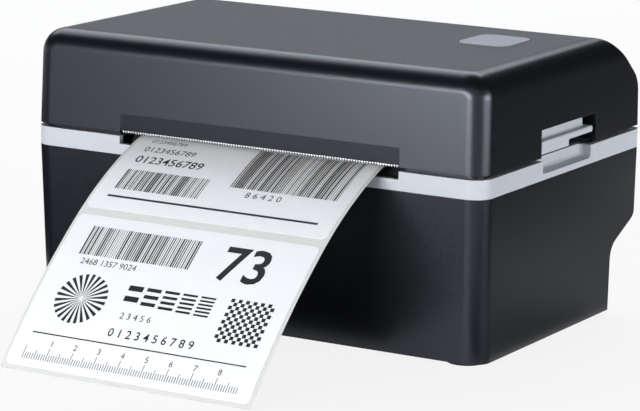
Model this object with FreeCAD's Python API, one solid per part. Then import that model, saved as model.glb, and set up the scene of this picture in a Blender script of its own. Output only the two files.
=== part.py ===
import FreeCAD, Part
import math
import os

V = FreeCAD.Vector

# Casing. X runs to the right, Y to the rear, Z up, and the table is at Z = 0.
body_width = 192.7
body_depth = 129.2
wall = 2.4
front_corner_radius = 7.2
rear_corner_radius = 0.6
foot_height = 1.6
base_height = 60.7
band_height = 7.1
lid_gap = 1.3
lid_height = 36.2
base_side_draft = 0.012
base_front_draft = 0.053
lid_draft = 0.021
joint_gap = 0.3
screw_radius = 1.4
screw_head_radius = 2.7
screw_head_height = 1.6

# Undercut of the rear wall, over the sockets
recess_depth = 20.5
recess_low = 24.7
recess_high = 34.2
recess_inner_radius = 8.0
recess_outer_radius = 5.0

# Lid
lid_side_radius = 9.5
lid_rear_set_back = 0.6
slope_run = 21.3
slope_drop = 18.0
slope_top_radius = 9.5
slope_rear_radius = 10.0
slope_lead = 0.02
rear_lip_rise = 0.25
rear_lip_depth = 5.0
rear_rim_rise = 0.6
rear_rim_thickness = 1.0
liner_height = 18.4
liner_thickness = 2.0

# Media opening, a little right of the middle
media_centre = 2.7
media_side_bays = 73.3
slot_play = 15.4
notch_floor = 4.1
inlet_rise = 7.3
exit_recess_height = 7.2
exit_recess_depth = 0.45
exit_lip_rise = 0.8
exit_backing = 3.1

# Tear bar
tear_bar_thickness = 0.5
tear_bar_height = 5.0
tear_bar_set_back = 0.3
tear_bar_inset = 0.6
tooth_pitch = 1.1
tooth_depth = 1.5
tooth_root_rise = 0.5
guard_thickness = 0.6

# Hinge
hinge_inset = 3.5
hinge_rise = 3.8
hinge_pin_radius = 1.5
knuckle_radius = 3.0
ear_inset = 13.0
ear_width = 8.0
lug_width = 3.7
run_clearance = 0.05

# Latch
latch_inset = 53.1
latch_notch_lead = 7.3
latch_notch_run = 38.7
latch_notch_height = 10.3
latch_lift = 4.0
latch_rise = 6.8
latch_shaft_radius = 2.5
latch_hub_radius = 5.0
ledge_run = 35.6
ledge_thickness = 2.5
ledge_rise = 3.4
lever_plate_run = 33.4
lever_foot_run = 18.1
lever_cove = 1.0
lever_thickness = 2.6
lever_set_back = 3.2
lever_clearance = 0.7
hook_inset = 14.5
hook_width = 4.0
hook_rise = 0.9
hook_nose = 2.3
hook_height = 1.6
keeper_height = 4.3
keeper_lip = 1.4
keeper_gap = 0.8
latch_lug_inset = 21.5
latch_lug_width = 3.0
latch_spring_wire = 0.8
latch_spring_turns = 4
pocket_inset = 9.0
skirt_thickness = 1.4
skirt_depth = 2.0
scoop_lead = 6.0
scoop_run = 34.0
scoop_depth = 5.0
scoop_floor = 2.9
scoop_fall = 0.9
scoop_corner = 2.5
scoop_cove = 1.5

# Feed button
button_inset = 35.55
button_run = 22.4
button_width = 21.0
button_length = 25.0
button_corner = 5.0
button_proud = 0.3
button_travel = 1.0
button_flange = 1.5
button_flange_thickness = 2.0
button_board_depth = 11.3
button_board_side = 9.0
button_board_end = 2.0
button_post_run = 10.0

# Platen and drive train
platen_inset = 14.0
platen_rise = 0.8
platen_radius = 8.0
platen_end_gap = 0.5
platen_shaft_radius = 3.0
bush_radius = 5.0
bush_flange_radius = 6.5
bush_flange_thickness = 1.0
plate_thickness = 1.5
plate_gap = 6.0
clip_thickness = 0.8
gear_module = 0.6
platen_teeth = 30
idler_small_teeth = 20
idler_large_teeth = 54
pinion_teeth = 15
gear_width = 6.0
gear_step = 2.5
gear_backlash = 0.16
centre_slack = 0.12
idler_direction = -58.0
motor_direction = -35.0
idler_stud_radius = 2.0
motor_radius = 18.0
motor_length = 22.0
motor_boss_radius = 5.0
motor_shaft_radius = 1.5
motor_ear = 24.0

# Deck and media guides
deck_thickness = 2.4
deck_rib_height = 1.5
deck_rib_width = 1.5
deck_rib_pitch = 20.0
guide_play = 0.6
guide_wall = 2.0
guide_height = 13.0
guide_lip = 5.0
guide_length = 36.0
guide_rear_gap = 20.0
narrowest_media = 24.6
guide_outward = 6.0
guide_foot_width = 3.0
guide_foot_length = 4.0
rack_module = 0.8
rack_teeth = 16
rack_depth = 4.2
rack_height = 3.0
rack_drop = 0.6
rack_overrun = 12.0
rack_backlash = 0.25
guide_cover_thickness = 2.0
guide_cover_margin = 4.0
guide_post_radius = 2.4
guide_screw_length = 6.5

# Gap sensor
sensor_width = 8.0
sensor_depth = 10.0
sensor_lead = 18.0
sensor_lift = 2.0

# Print head
head_overhang = 4.0
head_depth = 17.0
head_thickness = 0.8
head_gap = 0.4
head_line_proud = 0.05
heatsink_height = 7.0
heatsink_groove = 2.0
heatsink_grooves = 4
head_pivot_inset = 2.5
head_pivot_radius = 1.5
carrier_rise = 6.0
carrier_thickness = 1.2
carrier_flange = 3.0
spring_radius = 3.0
spring_wire = 0.7
spring_turns = 4
spring_end_gap = 16.0

# Label strip: labels on a liner, fed out to the table
label_margin = 1.3
liner_thick = 0.2
label_thick = 0.12
label_bond = 0.05
label_length = 66.2
label_space = 3.6
label_end_margin = 1.6
nip_gap = 0.3
strip_tail_run = 53.0
strip_tail_rise = 2.1
strip_bends = ((-22.0, 36.0), (-38.0, 155.5), (-60.0, 297.4))
strip_table_gap = 0.2

# Underside, board and sockets
cover_thickness = 2.4
foot_radius = 7.3
foot_side_gap = 11.85
foot_end_gap = 13.5
foot_seat = 0.8
boss_radius = 4.0
boss_height = 20.0
boss_rib = 3.0
boss_front_inset = 37.0
boss_rear_inset = 25.0
boss_wall_gap = 5.0
frame_boss_inset = 8.0
frame_boss_front_gap = 11.0
frame_boss_rear_gap = 17.0
frame_boss_depth = 16.0
board_width = 74.0
board_side_gap = 35.0
board_front_gap = 30.0
board_thickness = 1.6
board_height = 4.0
standoff_radius = 3.0
usb_inset = 42.0
usb_size = (12.0, 16.0, 11.0)
usb_mouth = (8.5, 9.0, 7.8)
usb_tongue = (5.6, 8.0, 3.2)
inlet_inset = 18.0
inlet_size = (9.5, 14.0, 11.0)
inlet_bore = 3.2
inlet_pin = 1.0
inlet_depth = 10.0
socket_proud = 0.5
socket_clearance = 0.3
switch_x = -30.0
switch_height = 10.4
bezel_width = 13.0
bezel_length = 15.6
bezel_thickness = 1.2
bezel_corner = 1.0
rocker_width = 8.0
rocker_radius = 6.3
rocker_tilt = 8.0
switch_depth = 14.0

# Levels and faces that the pieces share
half_width = body_width / 2
y_front = -body_depth / 2
y_rear = body_depth / 2
z_base = foot_height
z_band = z_base + base_height
z_deck = z_band + deck_thickness
z_band_top = z_band + band_height
z_lid = z_band_top + lid_gap
z_top = z_lid + lid_height
z_notch = z_band + notch_floor
recess_y = y_rear - recess_depth
lid_rear = y_rear - lid_rear_set_back
hinge_y = y_rear - hinge_inset
hinge_z = z_band_top + hinge_rise
rear_lip_z = z_lid + rear_lip_rise
latch_z = z_lid + latch_rise
slot_width = body_width - media_side_bays
slot = (media_centre - slot_width / 2, media_centre + slot_width / 2)
liner_width = slot_width - slot_play
guide_media = liner_width + guide_play
guide_inward = (guide_media - narrowest_media) / 2
guide_rear = y_rear - guide_rear_gap
guide_front = guide_rear - guide_length
platen_y = y_front + platen_inset
platen_length = slot_width - 2 * platen_end_gap
head_length = liner_width + 2 * head_overhang
spring_spread = head_length / 2 - spring_end_gap
strip_tail_y = platen_y + strip_tail_run
latch_y = y_front + latch_inset
latch_notch_front = latch_y - latch_notch_lead
latch_notch_rear = latch_y + latch_notch_run
ledge_reach = latch_y + ledge_run
lever_plate_reach = latch_y + lever_plate_run
lever_foot_reach = latch_y + lever_foot_run
pocket_x = half_width - pocket_inset
scoop_front = latch_y - scoop_lead
scoop_rear = latch_y + scoop_run
button_x = half_width - button_inset
button_y = latch_y + button_run
board_front = y_front + board_front_gap
board_right = half_width - board_side_gap
board_left = board_right - board_width
usb_x = board_right - usb_inset
inlet_x = board_right - inlet_inset
cover_top = z_base + cover_thickness
far = body_width + body_depth


def box(x, y, z):
    """Box between three (low, high) pairs."""
    return Part.makeBox(x[1] - x[0], y[1] - y[0], z[1] - z[0], V(x[0], y[0], z[0]))


def around(middle, size):
    """The (low, high) pair of a size about its middle."""
    return (middle - size / 2, middle + size / 2)


def rod_x(radius, x, y, z):
    return Part.makeCylinder(radius, x[1] - x[0], V(x[0], y, z), V(1, 0, 0))


def rod_y(radius, x, y, z):
    return Part.makeCylinder(radius, y[1] - y[0], V(x, y[0], z), V(0, 1, 0))


def rod_z(radius, x, y, z):
    return Part.makeCylinder(radius, z[1] - z[0], V(x, y, z[0]), V(0, 0, 1))


def join(first, *others):
    """Fuse shapes and merge their shared faces."""
    return first.fuse(list(others)).removeSplitter()


def mirror_x(shape):
    """Copy of a shape on the other side of the middle plane."""
    return shape.mirror(V(0, 0, 0), V(1, 0, 0))


def rounded_wire(corners):
    """Closed wire through (point, radius) corners, with an arc at each one."""
    count = len(corners)
    ends = []
    for index in range(count):
        point, radius = corners[index]
        before = (corners[index - 1][0] - point).normalize()
        after = (corners[(index + 1) % count][0] - point).normalize()
        half_angle = before.getAngle(after) / 2
        reach = radius / math.tan(half_angle)
        towards = (before + after).normalize()
        middle = point + towards * (radius / math.sin(half_angle) - radius)
        ends.append((point + before * reach, middle, point + after * reach))
    edges = []
    for index in range(count):
        start, middle, end = ends[index]
        if (end - start).Length > 0.001:
            edges.append(Part.Arc(start, middle, end).toShape())
        edges.append(Part.makeLine(end, ends[(index + 1) % count][0]))
    return Part.Wire(edges)


def side_prism(points, x):
    """Prism along X over (y, z) or (y, z, radius) points."""
    corners = []
    for point in points:
        radius = point[2] if len(point) == 3 else 0.0
        corners.append((V(x[0], point[0], point[1]), radius))
    return Part.Face(rounded_wire(corners)).extrude(V(x[1] - x[0], 0, 0))


def front_prism(points, y):
    """Prism along Y over (x, z) points."""
    wire = rounded_wire([(V(px, y[0], pz), 0.0) for px, pz in points])
    return Part.Face(wire).extrude(V(0, y[1] - y[0], 0))


def plan_wire(half, front, rear, z, inset, rear_round):
    """Outline at one height, rounded at its four upright corners."""
    front_radius = max(front_corner_radius - inset, 0.5)
    rear_radius = max(rear_round - inset, 0.5)
    corners = [
        (V(half - inset, front + inset, z), front_radius),
        (V(half - inset, rear - inset, z), rear_radius),
        (V(inset - half, rear - inset, z), rear_radius),
        (V(inset - half, front + inset, z), front_radius),
    ]
    return rounded_wire(corners)


def round_pad(x, y, z, radius):
    """Plate with rounded upright corners."""
    corners = [(V(x[i], y[j], z[0]), radius) for i, j in ((0, 0), (1, 0), (1, 1), (0, 1))]
    return Part.Face(rounded_wire(corners)).extrude(V(0, 0, z[1] - z[0]))


def screws(places, z_seat, length, up):
    """Pan-head screws that point up or down from their seats."""
    turn = 1.0 if up else -1.0
    solids = []
    for x, y in places:
        head = Part.makeCylinder(screw_head_radius, screw_head_height, V(x, y, z_seat), V(0, 0, -turn))
        shank = Part.makeCylinder(screw_radius, length, V(x, y, z_seat), V(0, 0, turn))
        solids.append(join(head, shank))
    return Part.makeCompound(solids)


def helix(radius, wire, turns, start, height):
    """Upright coil of round wire, on pairs of tangent arcs for each quarter turn."""
    rise = height / (turns * 2 * math.pi)
    steps = turns * 4

    def place(step):
        angle = step * math.pi / 2
        return start + V(radius * math.cos(angle), radius * math.sin(angle), rise * angle)

    def heading(step):
        angle = step * math.pi / 2
        return V(-radius * math.sin(angle), radius * math.cos(angle), rise).normalize()

    def arc(first, corner, last):
        weight = (last - first).Length / 2 / (corner - first).Length
        middle = (first + corner * (2 * weight) + last) * (1 / (2 + 2 * weight))
        return Part.Arc(first, middle, last).toShape()

    edges = []
    for step in range(steps):
        first, last = place(step), place(step + 1)
        ahead, behind = heading(step), heading(step + 1)
        chord = last - first
        both = ahead + behind
        spread = 2 * (1 - ahead.dot(behind))
        along = chord.dot(both)
        reach = (math.sqrt(along * along + spread * chord.dot(chord)) - along) / spread
        corner_one = first + ahead * reach
        corner_two = last - behind * reach
        meeting = (corner_one + corner_two) * 0.5
        edges.append(arc(first, corner_one, meeting))
        edges.append(arc(meeting, corner_two, last))
    section = Part.Wire(Part.makeCircle(wire / 2, place(0), heading(0)))
    return Part.Wire(edges).makePipeShell([section], True, False)


def gear_face(teeth, module, backlash, first_tooth):
    """Involute spur gear outline in the XY plane, with a tooth at the given angle."""
    pitch = teeth * module / 2
    base = pitch * math.cos(math.radians(20))
    root = pitch - 1.2 * module
    tip = pitch + 0.9 * module
    inner = max(base, root)
    half_tooth = math.pi / (2 * teeth) - backlash / (2 * pitch)
    roll = math.tan(math.radians(20)) - math.radians(20)
    flank = [root] if root < base else []
    for share in (0.0, 0.4, 0.75, 1.0):
        flank.append(inner + (tip - inner) * share)
    points = []
    for tooth in range(teeth):
        middle = first_tooth + tooth * 2 * math.pi / teeth
        sides = []
        for radius in flank:
            pressure = math.acos(min(1.0, base / max(radius, base)))
            sides.append((radius, half_tooth + roll - math.tan(pressure) + pressure))
        for radius, half in sides:
            points.append(V(radius * math.cos(middle - half), radius * math.sin(middle - half), 0))
        for radius, half in reversed(sides):
            points.append(V(radius * math.cos(middle + half), radius * math.sin(middle + half), 0))
    return Part.Face(Part.makePolygon(points + points[:1]))


def gear_x(teeth, first_tooth, x, y, z):
    """Spur gear about an X axis; its angles run from +Y towards +Z."""
    solid = gear_face(teeth, gear_module, gear_backlash, first_tooth).extrude(V(0, 0, x[1] - x[0]))
    solid.rotate(V(0, 0, 0), V(1, 1, 1), 120)
    solid.translate(V(x[0], y, z))
    return solid


def recess_cut(inset):
    """What the undercut takes from the lower rear of the casing."""
    angle = math.atan2(recess_high - recess_low, recess_depth)
    lift = inset * (1 - math.sin(angle)) / math.cos(angle)
    low = z_base + recess_low + lift
    high = z_base + recess_high + lift
    radius = recess_outer_radius - inset
    turn = math.pi / 2 - angle
    tangent = high + radius * math.tan(turn / 2)
    start = V(-far, y_rear - inset - radius * math.tan(turn / 2) * math.cos(angle), 0)
    start.z = high - radius * math.tan(turn / 2) * math.sin(angle)
    centre = V(-far, y_rear - inset - radius, tangent)
    middle = centre + V(0, math.cos(turn / 2), -math.sin(turn / 2)) * radius
    corner = V(-far, recess_y - inset, low)
    inner = recess_inner_radius + inset
    reach = inner * math.tan(turn / 2)
    below = corner - V(0, 0, reach)
    beside = corner + V(0, math.cos(angle), math.sin(angle)) * reach
    hollow = V(-far, recess_y - inset + inner, corner.z - reach)
    bend = hollow + V(0, -math.cos(turn / 2), math.sin(turn / 2)) * inner
    end = V(-far, y_rear - inset, tangent)
    outside = V(-far, far, tangent)
    foot = V(-far, recess_y - inset, -far)
    edges = [
        Part.makeLine(foot, below),
        Part.Arc(below, bend, beside).toShape(),
        Part.makeLine(beside, start),
        Part.Arc(start, middle, end).toShape(),
        Part.makeLine(end, outside),
        Part.makeLine(outside, V(-far, far, -far)),
        Part.makeLine(V(-far, far, -far), foot),
    ]
    return Part.Face(Part.Wire(edges)).extrude(V(2 * far, 0, 0))


def base_block(inset, low, high):
    """Drafted block of the lower casing, drawn in by an inset."""
    wires = []
    for z in (low, high):
        drop = z_band - z
        half = half_width - base_side_draft * drop
        front = y_front + base_front_draft * drop
        wires.append(plan_wire(half, front, y_rear, z, inset, rear_corner_radius))
    return Part.makeLoft(wires, True, True).cut(recess_cut(inset))


def lid_block(inset, low):
    """Drafted block of the lid with its slanted rear, drawn in by an inset."""
    top = z_top - inset
    shoulder = lid_side_radius - inset
    corners = []
    for z, side, radius in ((low, 1, 0), (top, 1, shoulder), (top, -1, shoulder), (low, -1, 0)):
        half = half_width - inset - lid_draft * (z - z_lid)
        corners.append((V(side * half, -far, z), radius))
    block = Part.Face(rounded_wire(corners)).extrude(V(0, 2 * far, 0))
    angle = math.atan2(slope_drop, slope_run)
    slide = inset * math.tan(angle / 2)
    lift = inset * (1 - math.sin(angle)) / math.cos(angle)
    over = top + slope_lead
    front = y_front + inset
    profile = [
        (front + lid_draft * (low - z_lid), low),
        (lid_rear - inset, low),
        (lid_rear - inset, z_top - slope_drop - lift, slope_rear_radius - inset),
        (lid_rear - slope_run - slide, over, slope_top_radius - inset),
        (front + lid_draft * (over - z_lid), over),
    ]
    block = block.common(side_prism(profile, (-far, far)))
    edges = []
    for face in block.Faces:
        if face.normalAt(0, 0).y < -0.9:
            edges.extend(e for e in face.Edges if e.BoundBox.ZMax > low + wall / 2)
    return block.makeFillet(front_corner_radius - inset, edges)


def make_base_housing():
    """Black skirt of the lower casing, with screw bosses and socket windows."""
    shell = base_block(0, z_base, z_band).cut(base_block(wall, z_base - wall, z_band + wall))
    inside = base_block(wall / 2, z_base, z_band)
    added = []
    holes = []
    for x, y in cover_screw_places:
        column = (cover_top, cover_top + boss_height)
        added.append(rod_z(boss_radius, x, y, column))
        edge = y_front if y < 0 else recess_y
        added.append(box(around(x, boss_rib), (min(y, edge), max(y, edge)), column))
        holes.append(rod_z(screw_radius + run_clearance, x, y, (cover_top, cover_top + boss_height / 2)))
    for x, y in frame_screw_places:
        column = (z_band - frame_boss_depth, z_band)
        added.append(rod_z(boss_radius, x, y, column))
        edge = math.copysign(half_width, x)
        added.append(box((min(x, edge), max(x, edge)), around(y, boss_rib), column))
        hole = (z_band - frame_boss_depth / 2, z_band)
        holes.append(rod_z(screw_radius + run_clearance, x, y, hole))
    shell = join(shell, *[piece.common(inside) for piece in added])
    through = (recess_y - 2 * wall, recess_y + wall)
    board_top = cover_top + board_height + board_thickness
    for x, size in ((usb_x, usb_size), (inlet_x, inlet_size)):
        high = board_top + size[2] + socket_clearance
        across = around(x, size[0] + 2 * socket_clearance)
        holes.append(box(across, through, (board_top - socket_clearance, high)))
    across = around(switch_x, bezel_width - wall)
    tall = around(z_base + switch_height, bezel_length - wall)
    holes.append(box(across, through, tall))
    return shell.cut(holes)


def make_bottom_cover():
    """Plate that closes the skirt from below, with seats for the feet."""
    plate = base_block(wall + joint_gap, z_base, cover_top)
    cuts = []
    for x, y in foot_places:
        cuts.append(rod_z(foot_radius + joint_gap, x, y, (0, z_base + foot_seat)))
    for x, y in cover_screw_places:
        cuts.append(rod_z(screw_radius + run_clearance, x, y, (0, cover_top)))
        cuts.append(rod_z(screw_head_radius + joint_gap, x, y, (0, z_base + screw_head_height)))
    return plate.cut(cuts)


def make_feet():
    """Four rubber discs with a rounded rim."""
    solids = []
    for x, y in foot_places:
        disc = rod_z(foot_radius, x, y, (0, z_base + foot_seat))
        rim = [e for e in disc.Edges if e.BoundBox.ZMax < 0.01]
        solids.append(disc.makeFillet(foot_height / 4, rim))
    return Part.makeCompound(solids)


def scoop_back():
    """Block in the band behind a finger scoop, and the scoop to cut from it."""
    outer = half_width
    depth = scoop_depth + wall
    span = (scoop_front - wall, scoop_rear + wall)
    block = box((outer - depth, outer - wall / 2), span, (z_band, z_band_top))
    floor = z_band + scoop_floor
    outline = [
        (outer - scoop_depth, floor),
        (outer + wall, floor - scoop_fall),
        (outer + wall, z_band_top + wall),
        (outer - scoop_depth, z_band_top + wall),
    ]
    cutter = front_prism(outline, (scoop_front, scoop_rear))
    inner = outer - scoop_depth + 0.01
    upright = [e for e in cutter.Edges if e.BoundBox.XMax < inner and e.BoundBox.ZLength > 1]
    cutter = cutter.makeFillet(scoop_corner, upright)
    low = [e for e in cutter.Edges if e.BoundBox.ZMax < floor + 0.01 and e.BoundBox.YLength > 1]
    low = [e for e in low if e.BoundBox.XMax < inner]
    return block, cutter.makeFillet(scoop_cove, low)


def make_middle_frame():
    """Light grey tray: the visible band, the deck, the hinge ears and the finger scoops."""
    outline = plan_wire(half_width, y_front, y_rear, z_band, 0, rear_corner_radius)
    frame = Part.Face(outline).extrude(V(0, 0, band_height))
    inner = plan_wire(half_width, y_front, y_rear, z_deck, wall, rear_corner_radius)
    hollow = Part.Face(inner).extrude(V(0, 0, far))
    frame = frame.cut(hollow)
    rim = Part.Face(outline).extrude(V(0, 0, band_height + rear_rim_rise))
    frame = join(frame, rim.common(box((-far, far), (y_rear - rear_rim_thickness, far), (z_band, far))))
    block, scoop = scoop_back()
    added = [block, mirror_x(block)]
    cuts = [scoop, mirror_x(scoop)]
    for x in ear_places:
        ear = rod_x(knuckle_radius, around(x, ear_width), hinge_y, hinge_z)
        neck = box(around(x, ear_width), around(hinge_y, 2 * knuckle_radius), (z_band, hinge_z))
        added.extend([ear, neck])
        cuts.append(rod_x(hinge_pin_radius, around(x, ear_width), hinge_y, hinge_z))
    ribs = int((liner_width - deck_rib_width) / deck_rib_pitch)
    for index in range(ribs + 1):
        x = media_centre + (index - ribs / 2) * deck_rib_pitch
        run = (trough[1] - wall, guide_front - wall)
        added.append(box(around(x, deck_rib_width), run, (z_band, z_deck + deck_rib_height)))
    cuts.append(box(slot, (y_front - wall, y_front + 2 * wall), (z_notch, far)))
    cuts.append(box(slot, (y_rear - 2 * wall, y_rear + wall), (z_notch, far)))
    through = (z_band - wall, z_band_top + wall)
    cuts.append(box((left_plate[0] - wall, right_plate[1] + 2 * wall), trough, through))
    cuts.append(box(gear_bay_x, gear_bay_y, through))
    cuts.append(box(around(media_centre, sensor_width + 2 * joint_gap), sensor_y, through))
    for side in (1, -1):
        near = side * (guide_media / 2 - guide_inward - guide_foot_length - wall)
        away = side * (guide_media / 2 + guide_outward + wall)
        across = (media_centre + min(near, away), media_centre + max(near, away))
        cuts.append(box(across, around(guide_foot_y(side), guide_foot_width + 2 * joint_gap), through))
    for x, y in frame_screw_places + plate_screw_places:
        cuts.append(rod_z(screw_radius + run_clearance, x, y, through))
    for x, y in guide_screw_places:
        cuts.append(rod_z(screw_radius + run_clearance, x, y, (z_band - wall, z_deck - joint_gap)))
    return join(frame, *added).cut(cuts)


def make_side_plate(side):
    """Steel side plate of the platen with a flange under the deck."""
    plate_x = left_plate if side < 0 else right_plate
    top = platen_z + bush_flange_radius
    if side < 0:
        low = motor_z - motor_radius - wall
        points = [
            (platen_y - bush_flange_radius, top),
            (platen_y - bush_flange_radius, platen_z - 2 * bush_flange_radius),
            (motor_y - motor_radius, low),
            (motor_y + motor_radius, low),
            (motor_y + motor_radius, z_band),
            (trough[1], z_band),
            (trough[1] - joint_gap, top),
        ]
    else:
        points = [
            (platen_y - bush_flange_radius, top),
            (platen_y - bush_flange_radius, platen_z - 2 * bush_flange_radius),
            (trough[1] + flange_length, platen_z - 2 * bush_flange_radius),
            (trough[1] + flange_length, z_band),
            (trough[1], z_band),
            (trough[1] - joint_gap, top),
        ]
    plate = side_prism(points, plate_x)
    across = (plate_x[0], plate_x[0] + flange_width)
    flange = box(across, (trough[1], trough[1] + flange_length), (z_band - plate_thickness, z_band))
    cuts = [rod_x(bush_radius, plate_x, platen_y, platen_z)]
    for x, y in plate_screw_places:
        cuts.append(rod_z(screw_radius + run_clearance, x, y, (z_band - wall, z_band + wall)))
    if side < 0:
        cuts.append(rod_x(idler_stud_radius, plate_x, idler_y, idler_z))
        cuts.append(rod_x(motor_boss_radius, plate_x, motor_y, motor_z))
        for y, z in motor_screw_places:
            cuts.append(rod_x(screw_radius, plate_x, y, z))
    return join(plate, flange).cut(cuts)


def make_bushes():
    """Two flanged bushes that carry the platen shaft."""
    solids = []
    for plate_x, side in ((left_plate, -1), (right_plate, 1)):
        face = plate_x[1] if side < 0 else plate_x[0]
        flange_x = (face, face + bush_flange_thickness)
        if side > 0:
            flange_x = (face - bush_flange_thickness, face)
        sleeve_x = (plate_x[0] - bush_flange_thickness, plate_x[1])
        if side > 0:
            sleeve_x = (plate_x[0], plate_x[1] + bush_flange_thickness)
        flange = rod_x(bush_flange_radius, flange_x, platen_y, platen_z)
        sleeve = rod_x(bush_radius, sleeve_x, platen_y, platen_z)
        bore = rod_x(platen_shaft_radius + run_clearance, (-far, far), platen_y, platen_z)
        solids.append(join(flange, sleeve).cut(bore))
    return Part.makeCompound(solids)


def make_platen_rubber():
    """Rubber sleeve of the platen."""
    span = around(media_centre, platen_length)
    sleeve = rod_x(platen_radius, span, platen_y, platen_z)
    ends = [e for e in sleeve.Edges if e.BoundBox.XLength < 0.01]
    sleeve = sleeve.makeFillet(platen_radius / 16, ends)
    return sleeve.cut(rod_x(platen_shaft_radius, span, platen_y, platen_z))


def make_clips():
    """Retaining rings outside both bushes."""
    solids = []
    for x in clip_places:
        ring = rod_x(bush_radius, (x, x + clip_thickness), platen_y, platen_z)
        solids.append(ring.cut(rod_x(platen_shaft_radius, (-far, far), platen_y, platen_z)))
    return Part.makeCompound(solids)


def make_platen_gear():
    """Gear on the left end of the platen shaft."""
    gear = gear_x(platen_teeth, math.radians(idler_direction), gear_near, platen_y, platen_z)
    return gear.cut(rod_x(platen_shaft_radius, gear_near, platen_y, platen_z))


def make_idler_gear():
    """Double gear between motor and platen."""
    meshed = math.radians(idler_direction) + math.pi + math.pi / idler_small_teeth
    small = gear_x(idler_small_teeth, meshed, (gear_far[1], gear_near[1]), idler_y, idler_z)
    large = gear_x(idler_large_teeth, math.radians(motor_direction), gear_far, idler_y, idler_z)
    bore = rod_x(idler_stud_radius + run_clearance, (-far, far), idler_y, idler_z)
    return join(small, large).cut(bore)


def make_idler_stud():
    """Stud in the left plate with a collar at each side of the double gear."""
    end = gear_far[0] - joint_gap
    stud = rod_x(idler_stud_radius, (end, left_plate[1]), idler_y, idler_z)
    cap = rod_x(2 * idler_stud_radius, (end - clip_thickness, end), idler_y, idler_z)
    collar = rod_x(2 * idler_stud_radius, (gear_near[1] + joint_gap, left_plate[0]), idler_y, idler_z)
    return join(stud, cap, collar)


def make_motor():
    """Stepper motor can with its flange ears and front boss."""
    face = left_plate[1]
    can = rod_x(motor_radius, (face + plate_thickness, face + motor_length), motor_y, motor_z)
    rim = [e for e in can.Edges if e.BoundBox.XMin > face + motor_length - 0.01]
    can = can.makeFillet(wall / 2, rim)
    flange_x = (face, face + plate_thickness)
    ears = [box(flange_x, around(motor_y, 2 * motor_ear), around(motor_z, 2 * screw_head_radius + wall))]
    ears.append(rod_x(motor_radius, flange_x, motor_y, motor_z))
    boss = rod_x(motor_boss_radius, (left_plate[0], face), motor_y, motor_z)
    bore = rod_x(motor_shaft_radius + run_clearance, (-far, face + motor_length / 2), motor_y, motor_z)
    holes = [rod_x(screw_radius, flange_x, y, z) for y, z in motor_screw_places]
    return join(can, boss, *ears).cut([bore] + holes)


def make_motor_screws():
    """Screws that hold the motor ears to the left plate."""
    solids = []
    for y, z in motor_screw_places:
        inside = left_plate[1] + plate_thickness
        head = rod_x(screw_head_radius, (inside, inside + screw_head_height), y, z)
        solids.append(join(head, rod_x(screw_radius, (left_plate[0], inside), y, z)))
    return Part.makeCompound(solids)


def make_motor_pinion():
    """Pinion on the motor shaft."""
    meshed = math.radians(motor_direction) + math.pi + math.pi / pinion_teeth
    gear = gear_x(pinion_teeth, meshed, gear_far, motor_y, motor_z)
    return gear.cut(rod_x(motor_shaft_radius, gear_far, motor_y, motor_z))


def guide_foot_y(side):
    """Row of a guide's foot: the right rack runs in front of the pinion, the left one behind."""
    return guide_middle - side * (rack_pitch_radius + 1.2 * rack_module + rack_depth / 2)


def make_rack(side):
    """Toothed bar of one media guide, drawn for the right side and turned for the left."""
    pitch = math.pi * rack_module
    root = guide_middle - rack_pitch_radius - 1.2 * rack_module
    tip = guide_middle - rack_pitch_radius + 0.9 * rack_module
    slant = math.tan(math.radians(20)) * (tip - root)
    base_half = pitch / 4 - rack_backlash / 2 + math.tan(math.radians(20)) * 1.2 * rack_module
    start = -rack_overrun
    end = guide_media / 2
    points = [V(end, root - rack_depth, 0), V(end, root, 0)]
    count = int((end - start) / pitch)
    for tooth in range(count, -1, -1):
        middle = start + pitch / 2 + tooth * pitch - start % pitch
        if middle + base_half > end or middle - base_half < start:
            continue
        points.append(V(middle + base_half, root, 0))
        points.append(V(middle + base_half - slant, tip, 0))
        points.append(V(middle - base_half + slant, tip, 0))
        points.append(V(middle - base_half, root, 0))
    points.extend([V(start, root, 0), V(start, root - rack_depth, 0)])
    bar = Part.Face(Part.makePolygon(points + points[:1])).extrude(V(0, 0, rack_height))
    bar.translate(V(0, 0, rack_z[0]))
    if side < 0:
        bar.rotate(V(0, guide_middle, 0), V(0, 0, 1), 180)
    bar.translate(V(media_centre, 0, 0))
    return bar


def make_guide(side):
    """Media guide: a lipped wall on the deck, its foot through the slot and its rack."""
    inner = guide_media / 2
    z_low = z_deck + joint_gap

    def across(near, away):
        ends = (media_centre + side * near, media_centre + side * away)
        return (min(ends), max(ends))

    run = (guide_front, guide_rear)
    upright = box(across(inner, inner + guide_wall), run, (z_low, z_low + guide_height))
    lip_z = (z_low + guide_height - guide_wall, z_low + guide_height)
    lip = box(across(inner - guide_lip, inner), run, lip_z)
    sole = box(across(inner - guide_lip, inner), run, (z_low, z_low + 1.0))
    row = around(guide_foot_y(side), guide_foot_width)
    foot = box(across(inner - guide_foot_length, inner), row, (rack_z[0], z_low))
    return join(upright, lip, sole, foot, make_rack(side))


def make_guide_pinion():
    """Pinion that ties the two racks together."""
    face = gear_face(rack_teeth, rack_module, rack_backlash, math.pi / 2)
    gear = face.extrude(V(0, 0, rack_height))
    gear.translate(V(media_centre, guide_middle, rack_z[0]))
    return gear.cut(rod_z(idler_stud_radius + run_clearance, media_centre, guide_middle, (0, far)))


def make_pinion_screw():
    """Shoulder screw that the guide pinion turns on."""
    seat = guide_cover_z[0]
    head = rod_z(screw_head_radius, media_centre, guide_middle, (seat - screw_head_height, seat))
    return join(head, rod_z(idler_stud_radius, media_centre, guide_middle, (seat, z_band)))


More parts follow.
